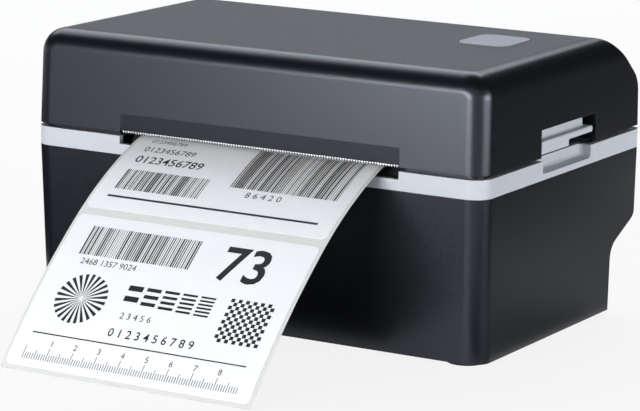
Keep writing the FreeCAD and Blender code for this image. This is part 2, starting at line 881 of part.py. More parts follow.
def make_guide_cover():
    """Plate under the racks, on four posts that reach the deck."""
    reach = guide_media / 2 + guide_outward + guide_cover_margin
    rows = (guide_rows[0] - guide_cover_margin, guide_rows[1] + guide_cover_margin)
    plate = box(around(media_centre, 2 * reach), rows, guide_cover_z)
    posts = [rod_z(guide_post_radius, x, y, (guide_cover_z[0], z_band)) for x, y in guide_screw_places]
    cuts = [rod_z(screw_radius + run_clearance, x, y, (0, far)) for x, y in guide_screw_places]
    cuts.append(rod_z(idler_stud_radius, media_centre, guide_middle, (0, far)))
    return join(plate, *posts).cut(cuts)


def make_label_path():
    """Pieces of the strip's middle line: (kind, start or centre, radius, first angle, last angle)."""
    nip_z = platen_z + platen_radius + nip_gap + liner_thick / 2
    tail = V(0, strip_tail_y, z_deck + strip_tail_rise)
    slope = math.atan2(nip_z - tail.z, strip_tail_y - platen_y)
    length = (strip_tail_y - platen_y) / math.cos(slope)
    pieces = [("line", tail, length, slope, slope)]
    place = tail + V(0, -math.cos(slope), math.sin(slope)) * length
    angle = slope
    for bend, radius in strip_bends:
        final = math.radians(bend)
        centre = place - V(0, math.sin(angle), math.cos(angle)) * radius
        if bend == strip_bends[-1][0]:
            reach = (strip_table_gap - centre.z) / radius
            final = -math.acos(reach)
        pieces.append(("arc", centre, radius, angle, final))
        place = centre + V(0, math.sin(final), math.cos(final)) * radius
        angle = final
    return pieces


def path_length(piece):
    """Length of one piece of the strip's middle line."""
    kind, _, size, first, last = piece
    return size if kind == "line" else size * abs(last - first)


def strip(start, end, low, high, width):
    """Slab that follows the strip's middle line between two lengths from its tail."""
    upper = []
    lower = []
    done = 0.0
    for piece in label_path:
        kind, origin, size, first, last = piece
        length = path_length(piece)
        near = max(start - done, 0.0)
        away = min(end - done, length)
        done += length
        if away - near < 0.001:
            continue
        for edges, offset in ((upper, high), (lower, low)):
            if kind == "line":
                normal = V(0, math.sin(first), math.cos(first)) * offset
                along = V(0, -math.cos(first), math.sin(first))
                edges.append(Part.makeLine(origin + along * near + normal, origin + along * away + normal))
                continue
            ends = []
            for run in (near, (near + away) / 2, away):
                angle = first + (last - first) * run / length
                ends.append(origin + V(0, math.sin(angle), math.cos(angle)) * (size + offset))
            edges.append(Part.Arc(*ends).toShape())
    caps = [
        Part.makeLine(upper[-1].Vertexes[-1].Point, lower[-1].Vertexes[-1].Point),
        Part.makeLine(lower[0].Vertexes[0].Point, upper[0].Vertexes[0].Point),
    ]
    wire = Part.Wire(Part.__sortEdges__(upper + lower + caps))
    slab = Part.Face(wire).extrude(V(width, 0, 0))
    slab.translate(V(media_centre - width / 2, 0, 0))
    return slab


def make_liner():
    """Backing paper of the label strip."""
    return strip(0.0, strip_length, -liner_thick / 2, liner_thick / 2, liner_width)


def make_labels():
    """Die-cut labels on the liner, from the free end back to its tail."""
    low = liner_thick / 2 + label_bond
    solids = []
    end = strip_length - label_end_margin
    while end > label_end_margin:
        start = max(end - label_length, label_end_margin)
        solids.append(strip(start, end, low, low + label_thick, liner_width - 2 * label_margin))
        end = start - label_space
    return Part.makeCompound(solids)


def band_ring(outer, inner, z):
    """Upright ring between two insets from the casing's outline."""
    solids = []
    for inset in (outer, inner):
        outline = plan_wire(half_width, y_front, y_rear, z[0], inset, rear_corner_radius)
        solids.append(Part.Face(outline).extrude(V(0, 0, z[1] - z[0])))
    return solids[0].cut(solids[1])


def make_lid_skirt():
    """Lip of the lid that hangs inside the band and closes the parting line."""
    inset = wall + joint_gap
    lip = band_ring(inset, inset + skirt_thickness, (z_band_top - skirt_depth, z_lid + skirt_thickness))
    root = band_ring(wall / 2, inset + skirt_thickness, (z_lid, z_lid + skirt_thickness))
    gaps = [box((slot[0] - skirt_thickness, slot[1] + skirt_thickness), (-far, 0), (0, far))]
    gaps.append(box((-far, far), (hinge_y - 3 * knuckle_radius, far), (0, far)))
    reach = (scoop_front - 2 * wall, latch_notch_rear + wall)
    gaps.append(box((-far, far), reach, (0, far)))
    return join(lip, root).cut(gaps)


def make_latch_pocket():
    """Walls round the right latch notch that hide the inside of the lid."""
    depth = pocket_x + skirt_thickness
    span = (latch_notch_front - skirt_thickness, latch_notch_rear + skirt_thickness)
    inside = z_lid + latch_notch_height + latch_lift
    block = box((pocket_x, half_width - wall), span, (z_lid, inside + skirt_thickness))
    hollow = box((depth, half_width - wall - joint_gap), (latch_notch_front, latch_notch_rear), (0, inside))
    mouth = box((depth, half_width), (latch_notch_front, latch_notch_rear), (0, z_lid + latch_notch_height))
    hole = rod_x(latch_hub_radius + lever_clearance, (0, half_width), latch_y, latch_z)
    return block.cut([hollow, mouth, hole])


def make_lid_shell():
    """Black lid: shell, exit recess, guard behind the teeth, latch notches, bosses and hinge lugs."""
    shell = lid_block(0, z_lid).cut(lid_block(wall, z_lid - wall))
    pocket = make_latch_pocket()
    shell = join(shell, make_lid_skirt(), pocket, mirror_x(pocket))
    inside = lid_block(wall / 2, z_lid)
    backing = (y_front + wall / 2, y_front + wall + exit_backing)
    posts = [box(slot, backing, (z_lid, z_lid + exit_recess_height + wall))]
    for x, y in liner_screw_places:
        posts.append(rod_z(boss_radius, x, y, (liner_z[1], z_top)))
    for x, y in carrier_screw_places:
        posts.append(rod_z(boss_radius, x, y, (carrier_z[1], z_top)))
    for x, y in button_post_places:
        posts.append(rod_z(guide_post_radius, x, y, (button_board_z[1], z_top)))
    for x in latch_lug_places:
        lug = box(around(x, latch_lug_width), around(latch_y, 2 * latch_hub_radius), (latch_z, z_top))
        posts.append(lug)
        posts.append(rod_x(latch_hub_radius, around(x, latch_lug_width), latch_y, latch_z))
    shell = join(shell, *[post.common(inside) for post in posts])
    cuts = []
    lip_z = z_lid + exit_lip_rise
    top_z = z_lid + exit_recess_height
    facet = [
        (y_front - wall, top_z),
        (y_front + lid_draft * exit_recess_height, top_z),
        (y_front + exit_recess_depth, lip_z),
        (y_front + wall + exit_backing + wall, lip_z),
        (y_front + wall + exit_backing + wall, z_lid - wall),
        (y_front - wall, z_lid - wall),
    ]
    cuts.append(side_prism(facet, slot))
    cuts.append(box(tear_bar_x, tear_bar_y, (z_lid, tear_bar_top)))
    notch_z = (z_lid - wall, z_lid + latch_notch_height)
    for side in (1, -1):
        wall_x = (side * (half_width - 1.5 * wall), side * (half_width + wall))
        cuts.append(box((min(wall_x), max(wall_x)), (latch_notch_front, latch_notch_rear), notch_z))
    cuts.append(box((-far, far), (lid_rear - rear_lip_depth, far), (0, rear_lip_z)))
    cuts.append(box(slot, (lid_rear - 2 * wall, far), (0, rear_lip_z + inlet_rise - rear_lip_rise)))
    for x in ear_places:
        window = around(x, ear_width + 2 * joint_gap)
        cuts.append(box(window, (hinge_y - 2 * knuckle_radius, far), (0, hinge_z + knuckle_radius + 0.7)))
    button_z = (z_top - 2 * wall, z_top + wall)
    hole = around(button_x, button_width + 2 * joint_gap)
    across = around(button_y, button_length + 2 * joint_gap)
    cuts.append(round_pad(hole, across, button_z, button_corner + joint_gap))
    pilot = screw_radius + run_clearance
    for x, y in liner_screw_places:
        cuts.append(rod_z(pilot, x, y, (liner_z[1], liner_z[1] + boss_radius * 2)))
    for x, y in carrier_screw_places:
        cuts.append(rod_z(pilot, x, y, (carrier_z[1], carrier_z[1] + boss_radius * 2)))
    shell = shell.cut(cuts)
    guard_y = (tear_bar_y[1], tear_bar_y[1] + guard_thickness)
    lugs = [box(tear_bar_x, guard_y, (tooth_root - tooth_depth, lip_z + joint_gap))]
    for x in ear_places:
        for way in (-1, 1):
            middle = x + way * (ear_width / 2 + joint_gap + lug_width / 2)
            across = around(middle, lug_width)
            deep = (hinge_y - knuckle_radius, lid_rear - wall / 2)
            web = box(across, deep, (hinge_z, hinge_z + 3 * knuckle_radius))
            lugs.extend([web.common(inside), rod_x(knuckle_radius, across, hinge_y, hinge_z)])
    shell = join(shell, *lugs)
    bores = []
    for x in ear_places:
        bores.append(rod_x(hinge_pin_radius + run_clearance, around(x, 3 * ear_width), hinge_y, hinge_z))
    for x in latch_lug_places:
        across = around(x, latch_lug_width)
        bores.append(rod_x(latch_shaft_radius + run_clearance, across, latch_y, latch_z))
    return shell.cut(bores)


def make_hinge_pins():
    """Two pins through the ears of the frame and the lugs of the lid."""
    length = ear_width + 2 * (joint_gap + lug_width)
    solids = [rod_x(hinge_pin_radius, around(x, length), hinge_y, hinge_z) for x in ear_places]
    return Part.makeCompound(solids)


def make_lid_liner():
    """Inner panel of the lid with stiffening ribs below."""
    reach = half_width - wall - lid_draft * lid_height - joint_gap
    run = (latch_y + latch_hub_radius + wall, liner_rear)
    panel = box((-reach, reach), run, liner_z)
    rib_z = (liner_z[0] - liner_thickness, liner_z[0])
    ribs = []
    for index in range(liner_ribs):
        x = (index - (liner_ribs - 1) / 2) * 2 * reach / liner_ribs
        ribs.append(box(around(x, liner_thickness), (run[0] + wall, run[1] - wall), rib_z))
    cuts = [rod_z(screw_radius + run_clearance, x, y, (0, far)) for x, y in liner_screw_places]
    return join(panel, *ribs).cut(cuts)


def make_tear_bar():
    """Steel strip in the exit lip, with a saw-tooth edge that shows below it."""
    length = tear_bar_x[1] - tear_bar_x[0]
    teeth = int(length / tooth_pitch)
    step = length / teeth
    points = [(tear_bar_x[1], tear_bar_top), (tear_bar_x[0], tear_bar_top)]
    for tooth in range(teeth):
        start = tear_bar_x[0] + tooth * step
        points.append((start, tooth_root))
        points.append((start + step / 2, tooth_root - tooth_depth))
    points.append((tear_bar_x[1], tooth_root))
    return front_prism(points, tear_bar_y)


def make_feed_button():
    """Button cap with a captive flange and a stem."""
    wide = around(button_x, button_width)
    long = around(button_y, button_length)
    cap = round_pad(wide, long, button_cap_z, button_corner)
    rim = [e for e in cap.Edges if e.BoundBox.ZMin > button_cap_z[1] - 0.01]
    cap = cap.makeFillet(button_proud, rim)
    wide = around(button_x, button_width + 2 * button_flange)
    long = around(button_y, button_length + 2 * button_flange)
    flange = round_pad(wide, long, button_flange_z, button_corner + button_flange)
    stem = rod_z(2 * screw_radius, button_x, button_y, (button_stem_low, button_flange_z[0]))
    return join(cap, flange, stem)


def make_button_board():
    """Small board under the button."""
    wide = around(button_x, button_board_size[0])
    return box(wide, around(button_y, button_board_size[1]), button_board_z)


def make_button_switch():
    """Tact switch and two light sources on the button board."""
    low = button_board_z[1]
    high = button_stem_low - button_travel - joint_gap
    body = box(around(button_x, 6.0), around(button_y, 6.0), (low, high - 0.6))
    plunger = rod_z(1.75, button_x, button_y, (low, high))
    lights = [box(around(button_x, 1.6), around(button_y + y, 3.0), (low, low + 1.2)) for y in (-9.0, 9.0)]
    return Part.makeCompound([join(body, plunger)] + lights)


def make_latch_lever():
    """Right latch lever: hub, recessed plate, finger ledge, foot and hook."""
    outer = half_width - lid_draft * ledge_rise - joint_gap
    plate_x = (outer - lever_set_back - lever_thickness, outer - lever_set_back)
    front = latch_notch_front + lever_clearance
    top = z_lid + latch_notch_height - lever_clearance
    low = z_lid + lever_clearance
    ledge_z = (z_lid + ledge_rise, z_lid + ledge_rise + ledge_thickness)
    plate = box(plate_x, (front, lever_plate_reach), (ledge_z[0], top))
    rear = [e for e in plate.Edges if e.BoundBox.YMin > lever_plate_reach - 0.01]
    plate = plate.makeFillet(lever_cove, [e for e in rear if e.BoundBox.ZMin > top - 0.01])
    ledge = box((plate_x[0], outer), (front, ledge_reach), ledge_z)
    edges = [e for e in ledge.Edges if e.BoundBox.XMin > outer - 0.01 and e.BoundBox.YLength > 1]
    ledge = ledge.makeFillet(ledge_thickness / 4, edges)
    lever = join(plate, ledge)
    inner = [e for e in lever.Edges if abs(e.BoundBox.ZMin - ledge_z[1]) < 0.01]
    inner = [e for e in inner if e.BoundBox.YLength > ledge_thickness and e.BoundBox.ZLength < 0.01]
    inner = [e for e in inner if abs(e.BoundBox.XMin - plate_x[1]) < 0.01]
    lever = lever.makeFillet(lever_cove, [e for e in inner if e.BoundBox.YMax < lever_plate_reach + 0.01])
    foot = box((plate_x[0], outer - lever_set_back / 3), (front, lever_foot_reach), (low, ledge_z[0]))
    hub = rod_x(latch_hub_radius, (hook_x[0], plate_x[1]), latch_y, latch_z)
    arm_y = (latch_y - hook_height, latch_y + hook_nose)
    arm = box(hook_x, arm_y, (hook_z[0], latch_z))
    nose = box(hook_x, (hook_tip, latch_y), hook_z)
    bore = rod_x(latch_shaft_radius, (hook_x[0], shaft_reach), latch_y, latch_z)
    return join(lever, foot, hub, arm, nose).cut(bore)


def make_keepers():
    """Steel keepers on the deck, over the noses of the hooks."""
    lip_tip = hook_tip - keeper_gap
    post_y = (lip_tip - keeper_lip - hook_height, lip_tip - keeper_lip)
    post = box(hook_x, post_y, (z_deck, z_deck + keeper_height))
    lip = box(hook_x, (post_y[1], lip_tip), (z_deck + keeper_height - hook_height, z_deck + keeper_height))
    keeper = join(post, lip)
    return Part.makeCompound([keeper, mirror_x(keeper)])


def make_latch_springs():
    """Torsion springs round the latch shaft, between lug and hub."""
    radius = latch_shaft_radius + latch_spring_wire
    start = latch_lug_places[0] + latch_lug_width / 2 + latch_spring_wire
    length = hook_x[0] - start - latch_spring_wire
    coil = helix(radius, latch_spring_wire, latch_spring_turns, V(0, 0, 0), length)
    coil.rotate(V(0, 0, 0), V(0, 1, 0), 90)
    coil.translate(V(start, latch_y, latch_z))
    return Part.makeCompound([coil, mirror_x(coil)])


def make_heatsink():
    """Grooved aluminium bar that carries the head."""
    span = around(media_centre, head_length + 2 * wall)
    bar = box(span, head_y, heatsink_z)
    cuts = []
    for index in range(heatsink_grooves):
        share = (index + 0.5) / heatsink_grooves
        y = head_y[0] + share * (head_depth - 2 * head_pivot_inset)
        groove = (heatsink_z[1] - heatsink_groove, heatsink_z[1] + wall)
        cuts.append(box(span, around(y, heatsink_groove), groove))
    for x in spring_places:
        seat = box(around(x, 2 * spring_radius + 2 * wall), head_y, heatsink_z)
        cuts = [cut.cut(seat) for cut in cuts]
    bar = bar.cut(cuts)
    return bar.cut(rod_x(head_pivot_radius, span, head_pivot_y, head_pivot_z))


def make_thermal_head():
    """Ceramic board of the thermal head with its raised heating line."""
    board = box(around(media_centre, head_length), head_y, head_z)
    level = head_z[0] + head_thickness / 2 - head_line_proud
    line = rod_x(head_thickness / 2, around(media_centre, liner_width), platen_y, level)
    return join(board, line)


def make_head_connector():
    """Socket for the flat cable on the rear of the heat sink."""
    across = around(media_centre, head_length / 3)
    deep = (head_y[1], head_y[1] + 2 * wall)
    return box(across, deep, (head_z[1] + wall, heatsink_z[1] - joint_gap))


def make_pivot_pins():
    """Pin through the heat sink that the head rocks on."""
    reach = head_length + 2 * wall + 2 * (joint_gap + carrier_thickness)
    return rod_x(head_pivot_radius, around(media_centre, reach), head_pivot_y, head_pivot_z)


def make_carrier():
    """Steel channel under the lid that carries the head."""
    across = around(media_centre, 2 * carrier_half)
    top = box(across, carrier_y, carrier_z)
    flange_z = (carrier_z[0] - carrier_flange, carrier_z[0])
    pieces = [box(across, (carrier_y[1] - carrier_thickness, carrier_y[1]), flange_z)]
    pieces.append(box(across, (carrier_y[0], carrier_y[0] + carrier_thickness), flange_z))
    cuts = []
    for side in (1, -1):
        near = media_centre + side * (head_length / 2 + wall + joint_gap)
        ends = (near, near + side * carrier_thickness)
        tab_y = around(head_pivot_y, 4 * head_pivot_radius)
        tab_z = (head_pivot_z - 2 * head_pivot_radius, carrier_z[0])
        pieces.append(box((min(ends), max(ends)), tab_y, tab_z))
    cuts.append(rod_x(head_pivot_radius + run_clearance, (-far, far), head_pivot_y, head_pivot_z))
    for x, y in carrier_screw_places:
        cuts.append(rod_z(screw_radius + run_clearance, x, y, (carrier_z[0] - wall, far)))
    return join(top, *pieces).cut(cuts)


def make_head_springs():
    """Coil springs that press the head on the platen."""
    low = heatsink_z[1] + spring_wire / 2 + run_clearance
    high = carrier_z[0] - spring_wire / 2 - run_clearance
    solids = []
    for x in spring_places:
        solids.append(helix(spring_radius, spring_wire, spring_turns, V(x, platen_y, low), high - low))
    return Part.makeCompound(solids)


def make_sensor_lower():
    """Lower gap sensor in its window in the deck."""
    low = z_band - 2 * wall
    deep = (sensor_y[0] + joint_gap, sensor_y[1] - joint_gap)
    body = box(around(media_centre, sensor_width), deep, (low, z_deck))
    lens = rod_z(1.5, media_centre, sum(sensor_y) / 2, (z_deck, z_deck + 0.4))
    return join(body, lens)


def make_sensor_upper():
    """Upper gap sensor on an arm from the head carrier."""
    across = around(media_centre, sensor_width)
    arm = box(across, (carrier_y[1], sensor_y[1]), (carrier_z[0] - carrier_flange, carrier_z[1]))
    stem_z = (sensor_upper_low, carrier_z[1])
    stem = box(across, (sensor_y[1] - 2 * wall, sensor_y[1]), stem_z)
    return join(arm, stem)


def make_board():
    """Main board on its standoffs."""
    plate = box((board_left, board_right), (board_front, board_rear), board_z)
    cuts = [rod_z(screw_radius + run_clearance, x, y, (0, far)) for x, y in standoff_places]
    return plate.cut(cuts)


def make_components():
    """Chips, capacitors, a coil and connectors on the main board."""
    top = board_z[1]
    x_mid = (board_left + board_right) / 2
    y_mid = (board_front + board_rear) / 2
    solids = [
        box(around(x_mid, 14.0), around(y_mid, 14.0), (top, top + 1.4)),
        box(around(x_mid - 20, 8.0), around(y_mid, 10.0), (top, top + 1.2)),
        box(around(x_mid + 20, 12.0), around(y_mid, 12.0), (top, top + 6.0)),
        box(around(x_mid, 24.0), around(board_front + 6, 5.0), (top, top + 4.0)),
        box(around(x_mid - 26, 8.0), around(board_front + 10, 6.0), (top, top + 6.0)),
    ]
    for index in range(3):
        x = board_right - 8 - 10.5 * index
        solids.append(rod_z(4.0, x, board_front + 16, (top, top + 11.0)))
    for index in range(6):
        x = x_mid - 13 + 5.2 * index
        solids.append(box(around(x, 1.6), around(y_mid + 12, 3.2), (top, top + 0.9)))
    return Part.makeCompound(solids)


def make_standoffs():
    """Threaded spacers under the main board."""
    solids = []
    for x, y in standoff_places:
        post = rod_z(standoff_radius, x, y, (cover_top, board_z[0]))
        solids.append(post.cut(rod_z(screw_radius + run_clearance, x, y, (cover_top, board_z[0]))))
    return Part.makeCompound(solids)


def make_usb_socket():
    """Square data socket with its tongue."""
    rear = recess_y + socket_proud
    tall = (board_z[1], board_z[1] + usb_size[2])
    body = box(around(usb_x, usb_size[0]), (rear - usb_size[1], rear), tall)
    middle = board_z[1] + usb_size[2] / 2
    mouth = box(around(usb_x, usb_mouth[0]), (rear - usb_mouth[1], rear), around(middle, usb_mouth[2]))
    deep = (rear - usb_mouth[1], rear - usb_mouth[1] + usb_tongue[1])
    tongue = box(around(usb_x, usb_tongue[0]), deep, around(middle, usb_tongue[2]))
    return join(body.cut(mouth), tongue)


def make_dc_inlet():
    """Round power inlet with its centre pin."""
    rear = recess_y + socket_proud
    middle = board_z[1] + inlet_size[2] / 2
    tall = (board_z[1], board_z[1] + inlet_size[2])
    body = box(around(inlet_x, inlet_size[0]), (rear - inlet_size[1], rear), tall)
    body = body.cut(rod_y(inlet_bore, inlet_x, (rear - inlet_depth, rear), middle))
    pin = rod_y(inlet_pin, inlet_x, (rear - inlet_depth, rear - wall / 2), middle)
    return join(body, pin)


def make_switch_body():
    """Power switch housing with its bezel on the rear wall."""
    bezel_y = (recess_y, recess_y + bezel_thickness)
    middle = z_base + switch_height
    tall = around(middle, bezel_length)
    bezel = round_pad(around(switch_x, bezel_width), tall, (0, bezel_thickness), bezel_corner)
    bezel.rotate(V(0, 0, 0), V(1, 0, 0), 90)
    bezel.translate(V(0, bezel_y[1], 0))
    wide = around(switch_x, bezel_width - wall - 2 * socket_clearance)
    tall = around(middle, bezel_length - wall - 2 * socket_clearance)
    body = box(wide, (recess_y - switch_depth, recess_y), tall)
    pocket_y = (rocker_y - rocker_radius - joint_gap, far)
    pocket_z = around(middle, 2 * (rocker_radius + joint_gap))
    pocket = box(around(switch_x, rocker_width + 2 * joint_gap), pocket_y, pocket_z)
    pins = rod_x(rocker_pin + run_clearance, around(switch_x, rocker_span), rocker_y, middle)
    return join(bezel, body).cut([pocket, pins])


def make_rocker():
    """Rocker with a dished face, at rest tipped to its off side."""
    middle = z_base + switch_height
    points = [
        (rocker_y - 2.0, middle - 5.8),
        (rocker_y + 3.9, middle - 4.9),
        (rocker_y + 2.4, middle),
        (rocker_y + 3.9, middle + 4.9),
        (rocker_y - 2.0, middle + 5.8),
    ]
    body = side_prism(points, around(switch_x, rocker_width))
    pin = rod_x(rocker_pin, around(switch_x, rocker_span - joint_gap), rocker_y, middle)
    rocker = join(body, pin)
    rocker.rotate(V(switch_x, rocker_y, middle), V(1, 0, 0), -rocker_tilt)
    return rocker


# Places that follow from the sizes above
tear_bar_front = y_front + exit_recess_depth + tear_bar_set_back
tear_bar_y = (tear_bar_front, tear_bar_front + tear_bar_thickness)
tear_bar_x = (slot[0] + tear_bar_inset, slot[1] - tear_bar_inset)
tear_bar_top = z_lid + exit_lip_rise + tear_bar_height
tooth_root = z_lid + exit_lip_rise + tooth_root_rise
platen_z = z_band_top + platen_rise - platen_radius
platen_span = around(media_centre, platen_length)
left_plate = (platen_span[0] - plate_gap - plate_thickness, platen_span[0] - plate_gap)
right_plate = (platen_span[1] + plate_gap, platen_span[1] + plate_gap + plate_thickness)
trough = (platen_y - platen_radius - 1.5, platen_y + platen_radius + 1.5)
flange_length = 12.0
flange_width = 12.0
clip_places = (
    left_plate[0] - bush_flange_thickness - joint_gap - clip_thickness,
    right_plate[1] + bush_flange_thickness + joint_gap,
)
gear_near = (clip_places[0] - joint_gap - gear_width, clip_places[0] - joint_gap)
gear_far = (gear_near[0] - gear_step - gear_width, gear_near[0] - gear_step)
idler_distance = gear_module * (platen_teeth + idler_small_teeth) / 2 + centre_slack
idler_y = platen_y + idler_distance * math.cos(math.radians(idler_direction))
idler_z = platen_z + idler_distance * math.sin(math.radians(idler_direction))
motor_distance = gear_module * (idler_large_teeth + pinion_teeth) / 2 + centre_slack
motor_y = idler_y + motor_distance * math.cos(math.radians(motor_direction))
motor_z = idler_z + motor_distance * math.sin(math.radians(motor_direction))
motor_reach = motor_ear - screw_head_radius
motor_screw_places = ((motor_y - motor_reach, motor_z), (motor_y + motor_reach, motor_z))
gear_bay_x = (gear_far[0] - 4.0, left_plate[0] - wall + 0.01)
gear_bay_y = (
    platen_y - gear_module * (platen_teeth / 2 + 1) - 1.0,
    idler_y + gear_module * idler_large_teeth / 2 + 2.0,
)
sensor_y = (platen_y + sensor_lead, platen_y + sensor_lead + sensor_depth)
sensor_upper_low = z_lid + sensor_lift
cover_screw_places = [
    (side * x, y)
    for x, y in (
        (half_width - boss_front_inset, y_front + base_front_draft * base_height + wall + boss_wall_gap),
        (half_width - boss_rear_inset, recess_y - wall - boss_wall_gap),
    )
    for side in (1, -1)
]
frame_screw_places = [
    (side * (half_width - frame_boss_inset), y)
    for y in (y_front + frame_boss_front_gap, y_rear - frame_boss_rear_gap)
    for side in (1, -1)
]
plate_screw_places = [
    (left_plate[0] + flange_width / 2, trough[1] + flange_length / 2),
    (right_plate[0] + flange_width / 2 + plate_thickness / 2, trough[1] + flange_length / 2),
]
foot_places = [
    (side * (half_width - foot_side_gap), y)
    for y in (y_front + foot_end_gap, recess_y - foot_end_gap)
    for side in (1, -1)
]
guide_middle = (guide_front + guide_rear) / 2
rack_pitch_radius = rack_module * rack_teeth / 2
rack_z = (z_band - rack_drop - rack_height, z_band - rack_drop)
guide_cover_z = (rack_z[0] - joint_gap - guide_cover_thickness, rack_z[0] - joint_gap)
guide_reach = rack_pitch_radius + 1.2 * rack_module + rack_depth + joint_gap + guide_post_radius
guide_rows = (guide_middle - guide_reach, guide_middle + guide_reach)
guide_screw_places = [
    (media_centre + side * (guide_media / 2 + guide_outward), y) for y in guide_rows for side in (1, -1)
]
ear_places = (half_width - ear_inset, ear_inset - half_width)
latch_lug_places = (half_width - latch_lug_inset, latch_lug_inset - half_width)
hook_x = (half_width - hook_inset, half_width - hook_inset + hook_width)
hook_z = (z_deck + hook_rise, z_deck + hook_rise + hook_height)
hook_tip = latch_y - hook_height - hook_nose
head_y = (platen_y - head_depth * 0.4, platen_y + head_depth * 0.6)
head_low = platen_z + platen_radius + nip_gap + liner_thick + label_bond + label_thick + head_gap
head_z = (head_low, head_low + head_thickness)
heatsink_z = (head_z[1], head_z[1] + heatsink_height)
head_pivot_y = head_y[1] - head_pivot_inset
head_pivot_z = heatsink_z[1] - head_pivot_inset
carrier_z = (heatsink_z[1] + carrier_rise, heatsink_z[1] + carrier_rise + carrier_thickness)
carrier_y = (head_y[0] + wall / 4, head_y[1] + wall)
carrier_half = head_length / 2 + 5 * wall
carrier_screw_places = [(media_centre + side * (carrier_half - boss_radius), platen_y) for side in (1, -1)]
spring_places = [media_centre + shift * spring_spread for shift in (-1, 0, 1)]
liner_z = (z_top - liner_height, z_top - liner_height + liner_thickness)
liner_rear = lid_rear - wall - 10.0
liner_ribs = 7
liner_screw_places = [
    (side * (half_width - 4 * wall), y)
    for y in (latch_notch_rear + 6.0, latch_y + 14.0)
    for side in (1, -1)
]
button_cap_z = (z_top - wall - 0.6, z_top + button_proud)
button_flange_z = (button_cap_z[0] - button_flange_thickness, button_cap_z[0])
button_board_z = (z_top - wall - button_board_depth - board_thickness, z_top - wall - button_board_depth)
button_stem_low = button_flange_z[0] - 3.5
button_board_size = (button_width + 2 * button_board_side, button_length + 2 * button_board_end)
button_post_places = [
    (button_x + side * (button_board_size[0] / 2 - guide_post_radius), button_y + row * button_post_run)
    for side in (1, -1)
    for row in (1, -1)
]
board_z = (cover_top + board_height, cover_top + board_height + board_thickness)
board_rear = recess_y - wall - joint_gap
standoff_places = [
    (x, y) for x in (board_left + 5.0, board_right - 5.0) for y in (board_front + 5.0, board_rear - 5.0)
]
rocker_y = recess_y - 0.3
rocker_pin = 1.0
rocker_span = rocker_width + 2 * joint_gap + 2.0
label_path = make_label_path()
strip_length = sum(path_length(piece) for piece in label_path)
frame_screw_length = deck_thickness + frame_boss_depth / 2 - joint_gap
platen_shaft_x = (gear_near[0] - 1.0, clip_places[1] + 2.0)
motor_shaft_x = (gear_far[0] - 1.0, left_plate[1] + motor_length / 3)

shaft_reach = hook_x[1] + lever_thickness
lever = make_latch_lever()
nodes = {
    "base_housing": make_base_housing(),
    "bottom_cover": make_bottom_cover(),
    "rubber_feet": make_feet(),
    "cover_screws": screws(cover_screw_places, z_base + screw_head_height, boss_height / 2, True),
    "middle_frame": make_middle_frame(),
    "frame_screws": screws(frame_screw_places, z_deck, frame_screw_length, False),
    "left_side_plate": make_side_plate(-1),
    "right_side_plate": make_side_plate(1),
    "plate_screws": screws(plate_screw_places, z_deck, deck_thickness + plate_thickness, False),
    "platen_bushes": make_bushes(),
    "platen_shaft": rod_x(platen_shaft_radius, platen_shaft_x, platen_y, platen_z),
    "platen_rubber": make_platen_rubber(),
    "platen_gear": make_platen_gear(),
    "shaft_clips": make_clips(),
    "idler_gear": make_idler_gear(),
    "idler_stud": make_idler_stud(),
    "stepper_motor": make_motor(),
    "motor_screws": make_motor_screws(),
    "motor_shaft": rod_x(motor_shaft_radius, motor_shaft_x, motor_y, motor_z),
    "motor_pinion": make_motor_pinion(),
    "guide_right": make_guide(1),
    "guide_left": make_guide(-1),
    "guide_pinion": make_guide_pinion(),
    "pinion_screw": make_pinion_screw(),
    "guide_cover": make_guide_cover(),
    "guide_cover_screws": screws(guide_screw_places, guide_cover_z[0], guide_screw_length, True),
    "gap_sensor_lower": make_sensor_lower(),
    "gap_sensor_upper": make_sensor_upper(),
    "main_board": make_board(),
    "board_components": make_components(),
    "board_standoffs": make_standoffs(),
    "board_screws": screws(standoff_places, board_z[1], board_thickness + board_height / 2, False),
    "usb_socket": make_usb_socket(),
    "dc_inlet": make_dc_inlet(),
    "switch_body": make_switch_body(),
    "power_rocker": make_rocker(),
    "hinge_pins": make_hinge_pins(),
    "latch_keepers": make_keepers(),
    "label_liner": make_liner(),
    "die_cut_labels": make_labels(),
    "lid_shell": make_lid_shell(),
    "lid_liner": make_lid_liner(),
    "liner_screws": screws(liner_screw_places, liner_z[0], liner_thickness + boss_radius, True),
    "tear_bar": make_tear_bar(),
    "head_carrier": make_carrier(),
    "carrier_screws": screws(carrier_screw_places, carrier_z[0], carrier_thickness + boss_radius, True),
    "head_springs": make_head_springs(),
    "head_heatsink": make_heatsink(),
    "thermal_head": make_thermal_head(),
    "head_connector": make_head_connector(),
    "head_pivot_pin": make_pivot_pins(),
    "button_board": make_button_board(),
    "button_switch": make_button_switch(),
    "feed_button": make_feed_button(),
    "latch_lever_right": lever,
    "latch_lever_left": mirror_x(lever),
    "latch_shaft": rod_x(latch_shaft_radius, (-shaft_reach, shaft_reach), latch_y, latch_z),
    "latch_springs": make_latch_springs(),
}

# The origin is the middle of the whole footprint, with the label strip, on the table
strip_front = nodes["label_liner"].optimalBoundingBox(False).YMin
footprint_shift = V(0, -(strip_front + y_rear) / 2, 0)

if __name__ == "__main__":
    os.makedirs("parts", exist_ok=True)
    for name, shape in nodes.items():
        placed = shape.copy()
        placed.translate(footprint_shift)
        placed.exportStep("parts/" + name + ".step")
        if not shape.isValid():
            print(name, "is not valid")
    print("ok", len(nodes), "nodes, strip", round(strip_length, 1), "shift", round(footprint_shift.y, 3))
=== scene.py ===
"""Looks of a desktop thermal label printer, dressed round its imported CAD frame.

Everything is in metres in the row frame: X to the right, Y to the rear, Z up from the table.
"""

import logging
import math
from dataclasses import dataclass, field
from enum import Enum
from typing import Callable, Iterable, Optional, Union

import bmesh
import bpy
from mathutils import Matrix, Vector


